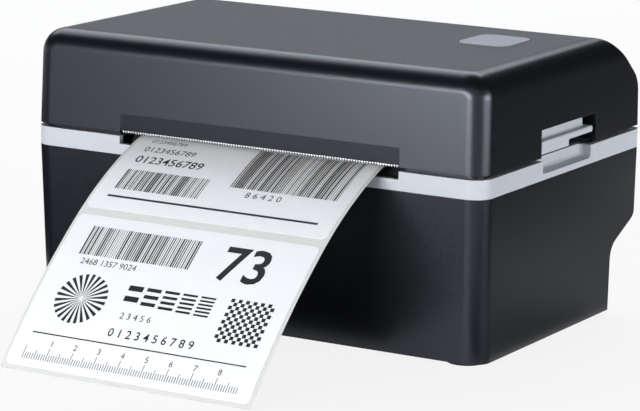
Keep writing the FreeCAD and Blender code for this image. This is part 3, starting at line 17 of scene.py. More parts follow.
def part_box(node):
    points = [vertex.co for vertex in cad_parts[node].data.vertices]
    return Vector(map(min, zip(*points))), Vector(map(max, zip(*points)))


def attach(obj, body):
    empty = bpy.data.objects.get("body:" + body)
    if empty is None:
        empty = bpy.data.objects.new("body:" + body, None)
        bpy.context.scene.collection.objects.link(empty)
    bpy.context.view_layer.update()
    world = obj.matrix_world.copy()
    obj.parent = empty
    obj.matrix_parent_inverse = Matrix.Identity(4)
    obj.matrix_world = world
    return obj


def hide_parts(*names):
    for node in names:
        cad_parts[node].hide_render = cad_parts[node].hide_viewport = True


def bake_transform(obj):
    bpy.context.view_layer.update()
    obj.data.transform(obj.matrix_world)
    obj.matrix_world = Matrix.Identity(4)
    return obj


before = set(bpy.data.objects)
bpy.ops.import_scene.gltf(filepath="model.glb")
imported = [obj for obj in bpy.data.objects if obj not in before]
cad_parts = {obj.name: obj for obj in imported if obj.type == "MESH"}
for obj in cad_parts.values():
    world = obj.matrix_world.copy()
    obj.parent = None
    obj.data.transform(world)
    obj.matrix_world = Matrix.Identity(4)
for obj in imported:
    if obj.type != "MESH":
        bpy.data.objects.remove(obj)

logging.basicConfig(level=logging.INFO, format="%(name)s: %(message)s")
log = logging.getLogger("printer")

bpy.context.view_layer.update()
MM = 0.001
COOL = (0.88, 0.93, 1.0)
Colour = tuple[float, float, float]
Value = Union[float, tuple, bpy.types.NodeSocket]


def srgb(red: int, green: int, blue: int) -> Colour:
    """Linear colour of an 8-bit display colour.

    Args:
        red: Red, 0 to 255.
        green: Green, 0 to 255.
        blue: Blue, 0 to 255.

    Returns:
        The three linear channels.
    """
    shares = (channel / 255 for channel in (red, green, blue))
    return tuple(c / 12.92 if c <= 0.04045 else ((c + 0.055) / 1.055) ** 2.4 for c in shares)


def scaled(colour: Colour, factor: float) -> Colour:
    """A colour made lighter or darker.

    Args:
        colour: Linear colour.
        factor: What each channel is multiplied by.

    Returns:
        The new colour, kept within 0 to 1.
    """
    return tuple(min(1.0, max(0.0, channel * factor)) for channel in colour)


class Grain(Enum):
    """How the fine structure of a surface runs."""

    EVEN = (1.0, 1.0, 1.0)
    ALONG_X = (0.02, 1.0, 1.0)
    ALONG_Y = (1.0, 0.02, 1.0)
    ALONG_Z = (1.0, 1.0, 0.02)


class Facing(Enum):
    """Which way the head of a screw looks."""

    UP = (0.0, 0.0, 1.0)
    DOWN = (0.0, 0.0, -1.0)
    RIGHT = (1.0, 0.0, 0.0)


@dataclass
class Graph:
    """Node tree of one material, with short calls that add and join nodes."""

    material: bpy.types.Material

    @classmethod
    def fresh(cls, name: str) -> "Graph":
        """Empty tree of a material, made if it isn't there yet.

        Args:
            name: Name of the material.

        Returns:
            The graph, with no nodes in it.
        """
        material = bpy.data.materials.get(name) or bpy.data.materials.new(name)
        material.use_nodes = True
        material.node_tree.nodes.clear()
        return cls(material)

    def add(self, kind: str, inputs: Optional[dict] = None, **settings) -> bpy.types.Node:
        """Add a node.

        Args:
            kind: Node type without its ShaderNode prefix.
            inputs: Value or socket for each input, by name or index.
            **settings: Properties of the node itself.

        Returns:
            The node.
        """
        node = self.material.node_tree.nodes.new("ShaderNode" + kind)
        for name, value in settings.items():
            setattr(node, name, value)
        for key, value in (inputs or {}).items():
            if isinstance(value, bpy.types.NodeSocket):
                self.material.node_tree.links.new(value, node.inputs[key])
            elif isinstance(value, tuple) and len(value) == 3 and node.inputs[key].type == "RGBA":
                node.inputs[key].default_value = (*value, 1.0)
            else:
                node.inputs[key].default_value = value
        return node

    def place(self, stretch: Grain = Grain.EVEN) -> bpy.types.NodeSocket:
        """Object coordinates, drawn out along the grain.

        Args:
            stretch: Direction of the grain.

        Returns:
            The vector socket.
        """
        coords = self.add("TexCoord").outputs["Object"]
        return self.add("Mapping", {"Vector": coords, "Scale": stretch.value}).outputs["Vector"]

    def noise(self, where: bpy.types.NodeSocket, size: float, detail: float = 3.0) -> bpy.types.NodeSocket:
        """Soft noise.

        Args:
            where: Coordinates.
            size: Size of a patch in metres.
            detail: Number of finer layers.

        Returns:
            Socket with values round 0.5.
        """
        node = self.add("TexNoise", {"Vector": where, "Scale": 1 / size, "Detail": detail})
        return node.outputs["Fac"]

    def math(self, operation: str, first: Value, second: Value = 0.0) -> bpy.types.NodeSocket:
        """One step of arithmetic.

        Args:
            operation: Name of the operation.
            first: First operand.
            second: Second operand.

        Returns:
            The result socket.
        """
        return self.add("Math", {0: first, 1: second}, operation=operation).outputs[0]

    def spread(self, value: bpy.types.NodeSocket, low: float, high: float, to: tuple) -> bpy.types.NodeSocket:
        """Map one range to another, clamped.

        Args:
            value: Socket to map.
            low: Where the source range starts.
            high: Where it ends.
            to: Start and end of the target range.

        Returns:
            The mapped socket.
        """
        inputs = {"Value": value, "From Min": low, "From Max": high, "To Min": to[0], "To Max": to[1]}
        return self.add("MapRange", inputs).outputs["Result"]

    def blend(self, share: Value, first: Value, second: Value) -> bpy.types.NodeSocket:
        """Mix of two colours.

        Args:
            share: How much of the second colour.
            first: First colour.
            second: Second colour.

        Returns:
            The colour socket.
        """
        node = self.add("Mix", {0: share}, data_type="RGBA")
        for index, value in ((6, first), (7, second)):
            if isinstance(value, bpy.types.NodeSocket):
                self.material.node_tree.links.new(value, node.inputs[index])
            else:
                node.inputs[index].default_value = (*value, 1.0)
        return node.outputs[2]

    def softened(self, radius: float) -> bpy.types.NodeSocket:
        """Normal that runs round sharp edges.

        Args:
            radius: Radius of the rounding in metres.

        Returns:
            The normal socket.
        """
        return self.add("Bevel", {"Radius": radius}, samples=6).outputs["Normal"]

    def edges(self, rounded: bpy.types.NodeSocket, where: bpy.types.NodeSocket) -> bpy.types.NodeSocket:
        """Mask of rubbed edges, broken up by noise.

        Args:
            rounded: Normal from softened().
            where: Coordinates for the noise.

        Returns:
            Socket from 0, untouched, to 1, rubbed.
        """
        flat = self.add("NewGeometry").outputs["Normal"]
        dot = self.add("VectorMath", {0: rounded, 1: flat}, operation="DOT_PRODUCT").outputs["Value"]
        rim = self.spread(dot, 0.995, 0.86, (0.0, 1.0))
        return self.math("MULTIPLY", rim, self.spread(self.noise(where, 4 * MM), 0.35, 0.7, (0.1, 1.0)))

    def bump(self, height: Value, depth: float, normal: Optional[bpy.types.NodeSocket] = None) -> bpy.types.NodeSocket:
        """Normal that follows a height.

        Args:
            height: Height socket, 0 to 1.
            depth: Height of 1 in metres.
            normal: Normal to start from.

        Returns:
            The normal socket.
        """
        inputs = {"Height": height, "Distance": depth, "Strength": 1.0}
        if normal is not None:
            inputs["Normal"] = normal
        return self.add("Bump", inputs).outputs["Normal"]

    def surface(self, **inputs: Value) -> bpy.types.Material:
        """Close the tree with a principled surface.

        Args:
            **inputs: Its inputs, with underscores for spaces.

        Returns:
            The finished material.
        """
        named = {key.replace("_", " "): value for key, value in inputs.items()}
        shader = self.add("BsdfPrincipled", named)
        self.add("OutputMaterial", {"Surface": shader.outputs[0]})
        return self.material


@dataclass(frozen=True)
class Finish:
    """What every finish states: its record slot and its look at a glance."""

    slot: str
    colour: Colour
    roughness: float

    def build(self) -> bpy.types.Material:
        """Make the material.

        Returns:
            The material, named after the slot.
        """
        raise NotImplementedError


@dataclass(frozen=True)
class Moulded(Finish):
    """Injection moulded plastic with a spark-eroded grain and lightly rubbed edges."""

    grain: float = 0.22 * MM
    depth: float = 0.010 * MM
    patch: float = 45 * MM
    uneven: float = 0.06
    rub: float = 1.8
    rounding: float = 0.4 * MM
    specular: float = 0.5
    sheen: tuple[float, float, float] = (1.0, 1.0, 1.0)

    def build(self) -> bpy.types.Material:
        graph = Graph.fresh(self.slot)
        where = graph.place()
        rounded = graph.softened(self.rounding)
        rubbed = graph.edges(rounded, where)
        cloud = graph.noise(where, self.patch, 2.0)
        pits = graph.add("TexVoronoi", {"Vector": where, "Scale": 1 / self.grain}).outputs["Distance"]
        fine = graph.noise(where, self.grain * 0.6, 2.0)
        height = graph.math("ADD", graph.math("MULTIPLY", pits, 0.6), graph.math("MULTIPLY", fine, 0.6))
        tone = graph.spread(cloud, 0.3, 0.7, (0.0, 1.0))
        body = graph.blend(tone, scaled(self.colour, 1 - self.uneven), scaled(self.colour, 1 + self.uneven))
        colour = graph.blend(graph.math("MULTIPLY", rubbed, 0.5), body, scaled(self.colour, self.rub))
        mottle = graph.noise(where, 5 * self.grain, 3.0)
        matte = graph.spread(mottle, 0.3, 0.7, (self.roughness - 0.03, self.roughness + 0.03))
        rough = graph.math("SUBTRACT", matte, graph.math("MULTIPLY", rubbed, 0.1))
        normal = graph.bump(height, self.depth, rounded)
        return graph.surface(
            Base_Color=colour,
            Roughness=rough,
            Specular_IOR_Level=self.specular,
            Specular_Tint=(*self.sheen, 1.0),
            Normal=normal,
        )


@dataclass(frozen=True)
class Metal(Finish):
    """Bare or plated metal with a drawn grain, stains and bright edges."""

    run: Grain = Grain.EVEN
    grain: float = 0.15 * MM
    depth: float = 0.003 * MM
    stain: float = 0.12
    rounding: float = 0.15 * MM

    def build(self) -> bpy.types.Material:
        graph = Graph.fresh(self.slot)
        where = graph.place()
        drawn = graph.noise(graph.place(self.run), self.grain, 3.0)
        cloud = graph.noise(where, 6 * MM, 4.0)
        rounded = graph.softened(self.rounding)
        rubbed = graph.edges(rounded, where)
        stains = graph.spread(cloud, 0.45, 0.75, (0.0, 1.0))
        body = graph.blend(stains, self.colour, scaled(self.colour, 1 - self.stain))
        colour = graph.blend(graph.math("MULTIPLY", rubbed, 0.6), body, scaled(self.colour, 1.25))
        rough = graph.spread(drawn, 0.25, 0.75, (self.roughness * 0.8, self.roughness * 1.25))
        normal = graph.bump(drawn, self.depth, rounded)
        return graph.surface(Base_Color=colour, Metallic=1.0, Roughness=rough, Normal=normal)


@dataclass(frozen=True)
class Rubber(Finish):
    """Ground or moulded rubber with dust in its pores."""

    pore: float = 0.3 * MM
    depth: float = 0.03 * MM

    def build(self) -> bpy.types.Material:
        graph = Graph.fresh(self.slot)
        where = graph.place()
        pores = graph.add("TexVoronoi", {"Vector": where, "Scale": 1 / self.pore}).outputs["Distance"]
        dust = graph.spread(graph.noise(where, 5 * MM, 5.0), 0.45, 0.8, (0.0, 0.35))
        colour = graph.blend(dust, self.colour, scaled(self.colour, 2.6))
        rough = graph.spread(pores, 0.0, 0.6, (self.roughness - 0.06, self.roughness + 0.06))
        normal = graph.bump(pores, self.depth, graph.softened(0.3 * MM))
        return graph.surface(Base_Color=colour, Roughness=rough, Specular_IOR_Level=0.3, Normal=normal)


@dataclass(frozen=True)
class Paper(Finish):
    """Coated paper with fibres that show through its coating."""

    fibre: float = 0.5 * MM
    depth: float = 0.006 * MM
    uneven: float = 0.02

    def build(self) -> bpy.types.Material:
        graph = Graph.fresh(self.slot)
        along = graph.noise(graph.place(Grain.ALONG_Y), self.fibre, 4.0)
        cloud = graph.noise(graph.place(), 12 * MM, 3.0)
        mottle = graph.math("MULTIPLY", graph.math("ADD", along, cloud), 0.5)
        tone = graph.spread(mottle, 0.35, 0.65, (0.0, 1.0))
        colour = graph.blend(tone, scaled(self.colour, 1 - self.uneven), scaled(self.colour, 1 + self.uneven))
        rough = graph.spread(cloud, 0.3, 0.7, (self.roughness - 0.05, self.roughness + 0.05))
        normal = graph.bump(along, self.depth)
        return graph.surface(Base_Color=colour, Roughness=rough, Specular_IOR_Level=0.3, Normal=normal)


@dataclass(frozen=True)
class Ink(Finish):
    """Thermal print: a black that thins out in specks."""

    speck: float = 0.25 * MM

    def build(self) -> bpy.types.Material:
        graph = Graph.fresh(self.slot)
        specks = graph.noise(graph.place(), self.speck, 2.0)
        thin = graph.spread(specks, 0.62, 0.8, (0.0, 0.3))
        colour = graph.blend(thin, self.colour, scaled(self.colour, 6.0))
        rough = graph.spread(specks, 0.3, 0.7, (self.roughness - 0.05, self.roughness + 0.05))
        normal = graph.bump(specks, 0.002 * MM)
        return graph.surface(Base_Color=colour, Roughness=rough, Specular_IOR_Level=0.3, Normal=normal)


@dataclass(frozen=True)
class CircuitBoard(Finish):
    """Solder mask over copper tracks, with tinned holes."""

    track: float = 2.2 * MM

    def build(self) -> bpy.types.Material:
        graph = Graph.fresh(self.slot)
        where = graph.place()
        bricks = {"Vector": where, "Scale": 1 / self.track, "Mortar Size": 0.09, "Bias": 0.0}
        tracks = graph.add("TexBrick", bricks, offset=0.35, squash=1.6).outputs["Fac"]
        cells = graph.add("TexVoronoi", {"Vector": where, "Scale": 0.35 / self.track}).outputs["Distance"]
        holes = graph.spread(cells, 0.12, 0.10, (0.0, 1.0))
        mask = graph.blend(tracks, self.colour, scaled(self.colour, 1.7))
        colour = graph.blend(holes, mask, srgb(196, 190, 170))
        rough = graph.spread(graph.noise(where, 3 * MM), 0.3, 0.7, (self.roughness - 0.05, self.roughness + 0.05))
        normal = graph.bump(tracks, 0.03 * MM, graph.softened(0.2 * MM))
        return graph.surface(Base_Color=colour, Roughness=rough, Metallic=holes, Normal=normal)


@dataclass(frozen=True)
class Finishes:
    """Every finish of the printer, by its record slot."""

    casing: Moulded = Moulded("black_casing", srgb(12, 13, 18), 0.31, rub=3.0, sheen=(0.80, 0.86, 1.0))
    grey: Moulded = Moulded("grey_casing", srgb(180, 185, 193), 0.5, rub=1.15, uneven=0.02, specular=0.4)
    guide: Moulded = Moulded("guide_plastic", srgb(52, 54, 58), 0.5)
    gear: Moulded = Moulded("gear_plastic", srgb(224, 221, 208), 0.45, rub=1.08, uneven=0.03)
    bush: Moulded = Moulded("bush_plastic", srgb(70, 66, 60), 0.5)
    component: Moulded = Moulded("component_black", srgb(28, 28, 30), 0.55, grain=0.15 * MM)
    ceramic: Moulded = Moulded("head_ceramic", srgb(96, 74, 58), 0.22, depth=0.002 * MM, rub=1.3)
    feet: Rubber = Rubber("foot_rubber", srgb(30, 30, 31), 0.85)
    platen: Rubber = Rubber("platen_rubber", srgb(44, 45, 48), 0.7, pore=0.2 * MM, depth=0.015 * MM)
    steel: Metal = Metal("steel", srgb(186, 188, 190), 0.26, run=Grain.ALONG_X)
    plated: Metal = Metal("plated_sheet", srgb(190, 192, 190), 0.38, stain=0.2)
    tear: Metal = Metal("tear_steel", srgb(228, 230, 234), 0.45, run=Grain.ALONG_X)
    spring: Metal = Metal("spring_steel", srgb(150, 152, 156), 0.3)
    screw: Metal = Metal("screw_steel", srgb(176, 176, 172), 0.32, stain=0.25)
    brass: Metal = Metal("pinion_brass", srgb(206, 172, 98), 0.3)
    motor: Metal = Metal("motor_can", srgb(150, 152, 152), 0.42, run=Grain.ALONG_X)
    socket: Metal = Metal("socket_metal", srgb(196, 198, 200), 0.3, run=Grain.ALONG_Y)
    alloy: Metal = Metal("head_alloy", srgb(190, 193, 197), 0.4, run=Grain.ALONG_X)
    board: CircuitBoard = CircuitBoard("board_green", srgb(24, 82, 52), 0.4)
    liner: Paper = Paper("liner_paper", srgb(214, 216, 214), 0.4)
    label: Paper = Paper("label_paper", srgb(236, 238, 242), 0.5)
    ink: Ink = Ink("label_ink", srgb(26, 26, 29), 0.55)

    def build(self) -> dict[str, bpy.types.Material]:
        """Make all the materials.

        Returns:
            The materials by slot.
        """
        made = {}
        for finish in vars(self).values():
            made[finish.slot] = finish.build()
            log.info("finish %s", finish.slot)
        return made


def new_piece(name: str, mesh: bpy.types.Mesh) -> bpy.types.Object:
    """Object at the origin that holds a mesh in the row frame.

    Args:
        name: Name of the piece.
        mesh: Its mesh.

    Returns:
        The linked object.
    """
    piece = bpy.data.objects.new(name, mesh)
    bpy.context.scene.collection.objects.link(piece)
    return piece


def baked(piece: bpy.types.Object) -> bpy.types.Object:
    """Replace an object's mesh and modifiers by their evaluated result.

    Args:
        piece: Object with modifiers.

    Returns:
        The same object with a plain mesh.
    """
    evaluated = piece.evaluated_get(bpy.context.evaluated_depsgraph_get())
    mesh = bpy.data.meshes.new_from_object(evaluated)
    piece.modifiers.clear()
    piece.data = mesh
    return piece


@dataclass
class NodeTree:
    """Geometry Nodes group with named inputs, built node by node."""

    name: str
    group: bpy.types.NodeTree = field(init=False)
    start: bpy.types.Node = field(init=False)

    def __post_init__(self) -> None:
        self.group = bpy.data.node_groups.new(self.name, "GeometryNodeTree")
        self.group.interface.new_socket("Geometry", in_out="OUTPUT", socket_type="NodeSocketGeometry")
        self.group.interface.new_socket("Geometry", in_out="INPUT", socket_type="NodeSocketGeometry")
        self.start = self.group.nodes.new("NodeGroupInput")

    def value(self, name: str, kind: str = "Float") -> str:
        """Add a named input.

        Args:
            name: Name of the input.
            kind: Socket type without its prefix.

        Returns:
            The name, for use as a key.
        """
        self.group.interface.new_socket(name, in_out="INPUT", socket_type="NodeSocket" + kind)
        return name

    def read(self, name: str) -> bpy.types.NodeSocket:
        """Socket of a named input.

        Args:
            name: Name of the input.

        Returns:
            The socket inside the group.
        """
        return self.start.outputs[name]

    def add(self, kind: str, inputs: Optional[dict] = None, **settings) -> bpy.types.Node:
        """Add a node.

        Args:
            kind: Full node type.
            inputs: Value or socket for each input, by name or index.
            **settings: Properties of the node itself.

        Returns:
            The node.
        """
        node = self.group.nodes.new(kind)
        for name, value in settings.items():
            setattr(node, name, value)
        for key, value in (inputs or {}).items():
            if isinstance(value, bpy.types.NodeSocket):
                self.group.links.new(value, node.inputs[key])
            else:
                node.inputs[key].default_value = value
        return node

    def math(self, operation: str, first: Value, second: Value = 0.0) -> bpy.types.NodeSocket:
        """One step of arithmetic.

        Args:
            operation: Name of the operation.
            first: First operand.
            second: Second operand.

        Returns:
            The result socket.
        """
        return self.add("ShaderNodeMath", {0: first, 1: second}, operation=operation).outputs[0]

    def vector(self, x: Value = 0.0, y: Value = 0.0, z: Value = 0.0) -> bpy.types.NodeSocket:
        """Vector from its parts.

        Args:
            x: First part.
            y: Second part.
            z: Third part.

        Returns:
            The vector socket.
        """
        return self.add("ShaderNodeCombineXYZ", {"X": x, "Y": y, "Z": z}).outputs[0]

    def close(self, geometry: bpy.types.NodeSocket) -> None:
        """End the group in Realize Instances and Set Material.

        Args:
            geometry: What the group makes.
        """
        real = self.add("GeometryNodeRealizeInstances", {"Geometry": geometry})
        dressed = self.add(
            "GeometryNodeSetMaterial", {"Geometry": real.outputs[0], "Material": self.read("Material")}
        )
        end = self.group.nodes.new("NodeGroupOutput")
        self.group.links.new(dressed.outputs[0], end.inputs[0])

    def run(self, piece: bpy.types.Object, values: dict) -> bpy.types.Object:
        """Apply the group to an object and keep only the resulting mesh.

        Args:
            piece: Object whose mesh is the group's input.
            values: Value of each named input.

        Returns:
            The object with its new mesh.
        """
        modifier = piece.modifiers.new(self.name, "NODES")
        modifier.node_group = self.group
        for item in self.group.interface.items_tree:
            if item.in_out == "INPUT" and item.name in values:
                modifier[item.identifier] = values[item.name]
        return baked(piece)


def screw_tree() -> NodeTree:
    """Group that puts a cross-recessed pan head screw on each point, along its aim.

    Returns:
        The node group.
    """
    tree = NodeTree("cross_head_screws")
    for name in ("Head Radius", "Head Height", "Shank Radius", "Length", "Recess Width", "Recess Span"):
        tree.value(name)
    tree.value("Material", "Material")
    radius, height = tree.read("Head Radius"), tree.read("Head Height")
    crown = tree.add(
        "GeometryNodeMeshCone",
        {
            "Vertices": 32,
            "Radius Bottom": radius,
            "Radius Top": tree.math("MULTIPLY", radius, 0.8),
            "Depth": height,
        },
    )
    head = tree.add(
        "GeometryNodeTransform",
        {"Geometry": crown.outputs["Mesh"], "Translation": tree.vector(z=tree.math("MULTIPLY", height, -1.0))},
    )
    width, span = tree.read("Recess Width"), tree.read("Recess Span")
    bars = tree.add("GeometryNodeJoinGeometry")
    for size in (tree.vector(width, span, height), tree.vector(span, width, height)):
        bar = tree.add("GeometryNodeMeshCube", {"Size": size})
        raised = tree.add("GeometryNodeTransform", {"Geometry": bar.outputs["Mesh"]})
        tree.group.links.new(raised.outputs[0], bars.inputs[0])
    cut = tree.add("GeometryNodeMeshBoolean", {"Mesh 1": head.outputs[0]}, operation="DIFFERENCE", solver="EXACT")
    tree.group.links.new(bars.outputs[0], cut.inputs["Mesh 2"])
    reach = tree.math("SUBTRACT", tree.read("Length"), tree.math("MULTIPLY", height, 0.9))
    shank = tree.add(
        "GeometryNodeMeshCylinder", {"Vertices": 20, "Radius": tree.read("Shank Radius"), "Depth": reach}
    )
    drop = tree.math("ADD", tree.math("MULTIPLY", height, 0.9), tree.math("MULTIPLY", reach, 0.5))
    lowered = tree.add(
        "GeometryNodeTransform",
        {"Geometry": shank.outputs["Mesh"], "Translation": tree.vector(z=tree.math("MULTIPLY", drop, -1.0))},
    )
    screw = tree.add("GeometryNodeJoinGeometry")
    tree.group.links.new(cut.outputs["Mesh"], screw.inputs[0])
    tree.group.links.new(lowered.outputs[0], screw.inputs[0])
    aim = tree.add("GeometryNodeInputNamedAttribute", {"Name": "aim"}, data_type="FLOAT_VECTOR")
    turned = tree.add("FunctionNodeAlignRotationToVector", {"Vector": aim.outputs[0]}, axis="Z")
    placed = tree.add(
        "GeometryNodeInstanceOnPoints",
        {"Points": tree.read("Geometry"), "Instance": screw.outputs[0], "Rotation": turned.outputs[0]},
    )
    tree.close(placed.outputs[0])
    return tree


def bar_tree() -> NodeTree:
    """Group that draws a row of upright bars with seeded random widths.

    Returns:
        The node group.
    """
    tree = NodeTree("bar_row")
    for name, kind in (("Count", "Int"), ("Pitch", "Float"), ("Height", "Float"), ("Seed", "Int")):
        tree.value(name, kind)
    tree.value("Material", "Material")
    line = tree.add(
        "GeometryNodeMeshLine", {"Count": tree.read("Count"), "Offset": tree.vector(x=tree.read("Pitch"))}
    )
    chance = tree.add("FunctionNodeRandomValue", {"Seed": tree.read("Seed")}, data_type="FLOAT")
    step = tree.math("MULTIPLY", tree.math("CEIL", tree.math("MULTIPLY", chance.outputs[1], 3.0)), 0.25)
    bar = tree.add(
        "GeometryNodeMeshGrid",
        {"Size X": tree.read("Pitch"), "Size Y": tree.read("Height"), "Vertices X": 2, "Vertices Y": 2},
    )
    placed = tree.add(
        "GeometryNodeInstanceOnPoints",
        {"Points": line.outputs[0], "Instance": bar.outputs[0], "Scale": tree.vector(step, 1.0, 1.0)},
    )
    tree.close(placed.outputs[0])
    return tree


def tick_tree() -> NodeTree:
    """Group that draws the ticks of a ruler, longer at every fifth and tenth one.

    Returns:
        The node group.
    """
    tree = NodeTree("ruler_ticks")
    for name, kind in (("Count", "Int"), ("Pitch", "Float"), ("Height", "Float"), ("Width", "Float")):
        tree.value(name, kind)
    tree.value("Material", "Material")
    line = tree.add(
        "GeometryNodeMeshLine", {"Count": tree.read("Count"), "Offset": tree.vector(x=tree.read("Pitch"))}
    )
    index = tree.add("GeometryNodeInputIndex").outputs[0]
    fifth = tree.math("LESS_THAN", tree.math("MODULO", index, 5.0), 0.5)
    tenth = tree.math("LESS_THAN", tree.math("MODULO", index, 10.0), 0.5)
    share = tree.math("ADD", 0.5, tree.math("MULTIPLY", tree.math("ADD", fifth, tenth), 0.25))
    tick = tree.add(
        "GeometryNodeMeshGrid",
        {"Size X": tree.read("Width"), "Size Y": tree.read("Height"), "Vertices X": 2, "Vertices Y": 2},
    )
    lifted = tree.add(
        "GeometryNodeTransform",
        {
            "Geometry": tick.outputs[0],
            "Translation": tree.vector(y=tree.math("MULTIPLY", tree.read("Height"), 0.5)),
        },
    )
    placed = tree.add(
        "GeometryNodeInstanceOnPoints",
        {"Points": line.outputs[0], "Instance": lifted.outputs[0], "Scale": tree.vector(1.0, share, 1.0)},
    )
    tree.close(placed.outputs[0])
    return tree


@dataclass(frozen=True)
class Station:
    """One place on the strip's centre line."""

    y: float
    z: float
    heading: float

    def lifted(self, x: float, height: float) -> Vector:
        """Point over the centre line.

        Args:
            x: Place across the strip.
            height: Distance above the centre line.

        Returns:
            The point in the row frame.
        """
        return Vector((x, self.y + height * math.sin(self.heading), self.z + height * math.cos(self.heading)))


@dataclass(frozen=True)
class StripPath:
    """Centre line of the label strip: straight to the nip, then down to the table in three bends."""

    tail: tuple[float, float]
    nip: tuple[float, float]
    bends: tuple[tuple[float, float], ...]
    end_height: float

    def pieces(self) -> list[tuple[float, Callable[[float], Station]]]:
        """Lengths and rules of the pieces of the line.

        Returns:
            For each piece its length and a function from the distance along it to a station.
        """
        run = (self.nip[0] - self.tail[0], self.nip[1] - self.tail[1])
        heading = math.atan2(run[1], -run[0])
        found = [(math.hypot(*run), self._line(self.tail, heading))]
        y, z = self.nip
        for index, (degrees, radius) in enumerate(self.bends):
            centre = (y - radius * math.sin(heading), z - radius * math.cos(heading))
            end = math.radians(degrees)
            if index == len(self.bends) - 1:
                end = max(end, -math.acos((self.end_height - centre[1]) / radius))
            found.append((radius * (heading - end), self._arc(centre, radius, heading)))
            y = centre[0] + radius * math.sin(end)
            z = centre[1] + radius * math.cos(end)
            heading = end
        return found

    @staticmethod
    def _line(start: tuple[float, float], heading: float) -> Callable[[float], Station]:
        return lambda s: Station(start[0] - s * math.cos(heading), start[1] + s * math.sin(heading), heading)

    @staticmethod
    def _arc(centre: tuple[float, float], radius: float, heading: float) -> Callable[[float], Station]:
        def rule(s: float) -> Station:
            turn = heading - s / radius
            return Station(centre[0] + radius * math.sin(turn), centre[1] + radius * math.cos(turn), turn)

        return rule

    def length(self) -> float:
        """Length of the whole line.

        Returns:
            Metres from the tail to the free end.
        """
        return sum(length for length, _ in self.pieces())

    def at(self, distance: float) -> Station:
        """Station at a distance from the tail.

        Args:
            distance: Metres along the line.

        Returns:
            The station there.
        """
        pieces = self.pieces()
        for index, (length, rule) in enumerate(pieces):
            if distance <= length or index == len(pieces) - 1:
                return rule(distance)
            distance -= length
        raise ValueError("the line has no pieces")


@dataclass
class FlatPrint:
    """Print laid out flat: U to the right and V down from the label's upper left corner, in metres."""

    ink: bpy.types.Material
    sheet: bmesh.types.BMesh = field(default_factory=bmesh.new)

    def polygon(self, points: Iterable[tuple[float, float]]) -> None:
        """Add a filled outline.

        Args:
            points: Its corners as (u, v).
        """
        self.sheet.faces.new([self.sheet.verts.new((u, -v, 0.0)) for u, v in points])

    def block(self, u: tuple[float, float], v: tuple[float, float]) -> None:
        """Add a filled rectangle.

        Args:
            u: Its start and end across.
            v: Its start and end down.
        """
        self.polygon([(u[0], v[1]), (u[1], v[1]), (u[1], v[0]), (u[0], v[0])])

    def rows(self, tree: NodeTree, u: float, v: float, values: dict) -> None:
        """Add what a node group draws in the flat.

        Args:
            tree: The node group.
            u: Where its origin goes across.
            v: Where its origin goes down.
            values: The group's inputs.
        """
        scratch = new_piece("flat_rows", bpy.data.meshes.new("flat_rows"))
        tree.run(scratch, {**values, "Material": self.ink})
        scratch.data.transform(Matrix.Translation((u, -v, 0.0)))
        self._take(scratch)

    def digits(self, text: str, u: float, v: float, size: float, bold: float = 0.0) -> None:
        """Add a line of digits.

        Args:
            text: Digits and spaces.
            u: Left end of the line.
            v: Foot of the line.
            size: Height of the type.
            bold: How far the strokes are thickened, as a share of the size.
        """
        curve = bpy.data.curves.new("digits", "FONT")
        curve.body = text
        curve.size = size * 1.4
        curve.offset = bold * size
        curve.resolution_u = 3
        scratch = baked(self._as_mesh(bpy.data.objects.new("digits", curve)))
        scratch.data.transform(Matrix.Translation((u, -v, 0.0)))
        self._take(scratch)

    @staticmethod
    def _as_mesh(text: bpy.types.Object) -> bpy.types.Object:
        bpy.context.scene.collection.objects.link(text)
        evaluated = text.evaluated_get(bpy.context.evaluated_depsgraph_get())
        piece = new_piece("digits_mesh", bpy.data.meshes.new_from_object(evaluated))
        bpy.data.objects.remove(text)
        return piece

    def _take(self, scratch: bpy.types.Object) -> None:
        self.sheet.from_mesh(scratch.data)
        bpy.data.objects.remove(scratch)

    def wrapped(self, name: str, place: Callable[[float, float], Vector], step: float) -> bpy.types.Object:
        """Lay the print on the strip.

        Args:
            name: Name of the piece.
            place: Function from (u, v) to a point in the row frame.
            step: Longest stretch in V that stays straight.

        Returns:
            The piece.
        """
        low = min(vert.co.y for vert in self.sheet.verts)
        high = max(vert.co.y for vert in self.sheet.verts)
        for index in range(1, int((high - low) / step) + 1):
            parts = self.sheet.verts[:] + self.sheet.edges[:] + self.sheet.faces[:]
            cut = (0.0, low + index * step, 0.0)
            bmesh.ops.bisect_plane(self.sheet, geom=parts, plane_co=cut, plane_no=(0.0, 1.0, 0.0))
        bmesh.ops.triangulate(self.sheet, faces=self.sheet.faces[:])
        for vert in self.sheet.verts:
            vert.co = place(vert.co.x, -vert.co.y)
        mesh = bpy.data.meshes.new(name)
        self.sheet.to_mesh(mesh)
        self.sheet.free()
        mesh.materials.clear()
        mesh.materials.append(self.ink)
        return new_piece(name, mesh)


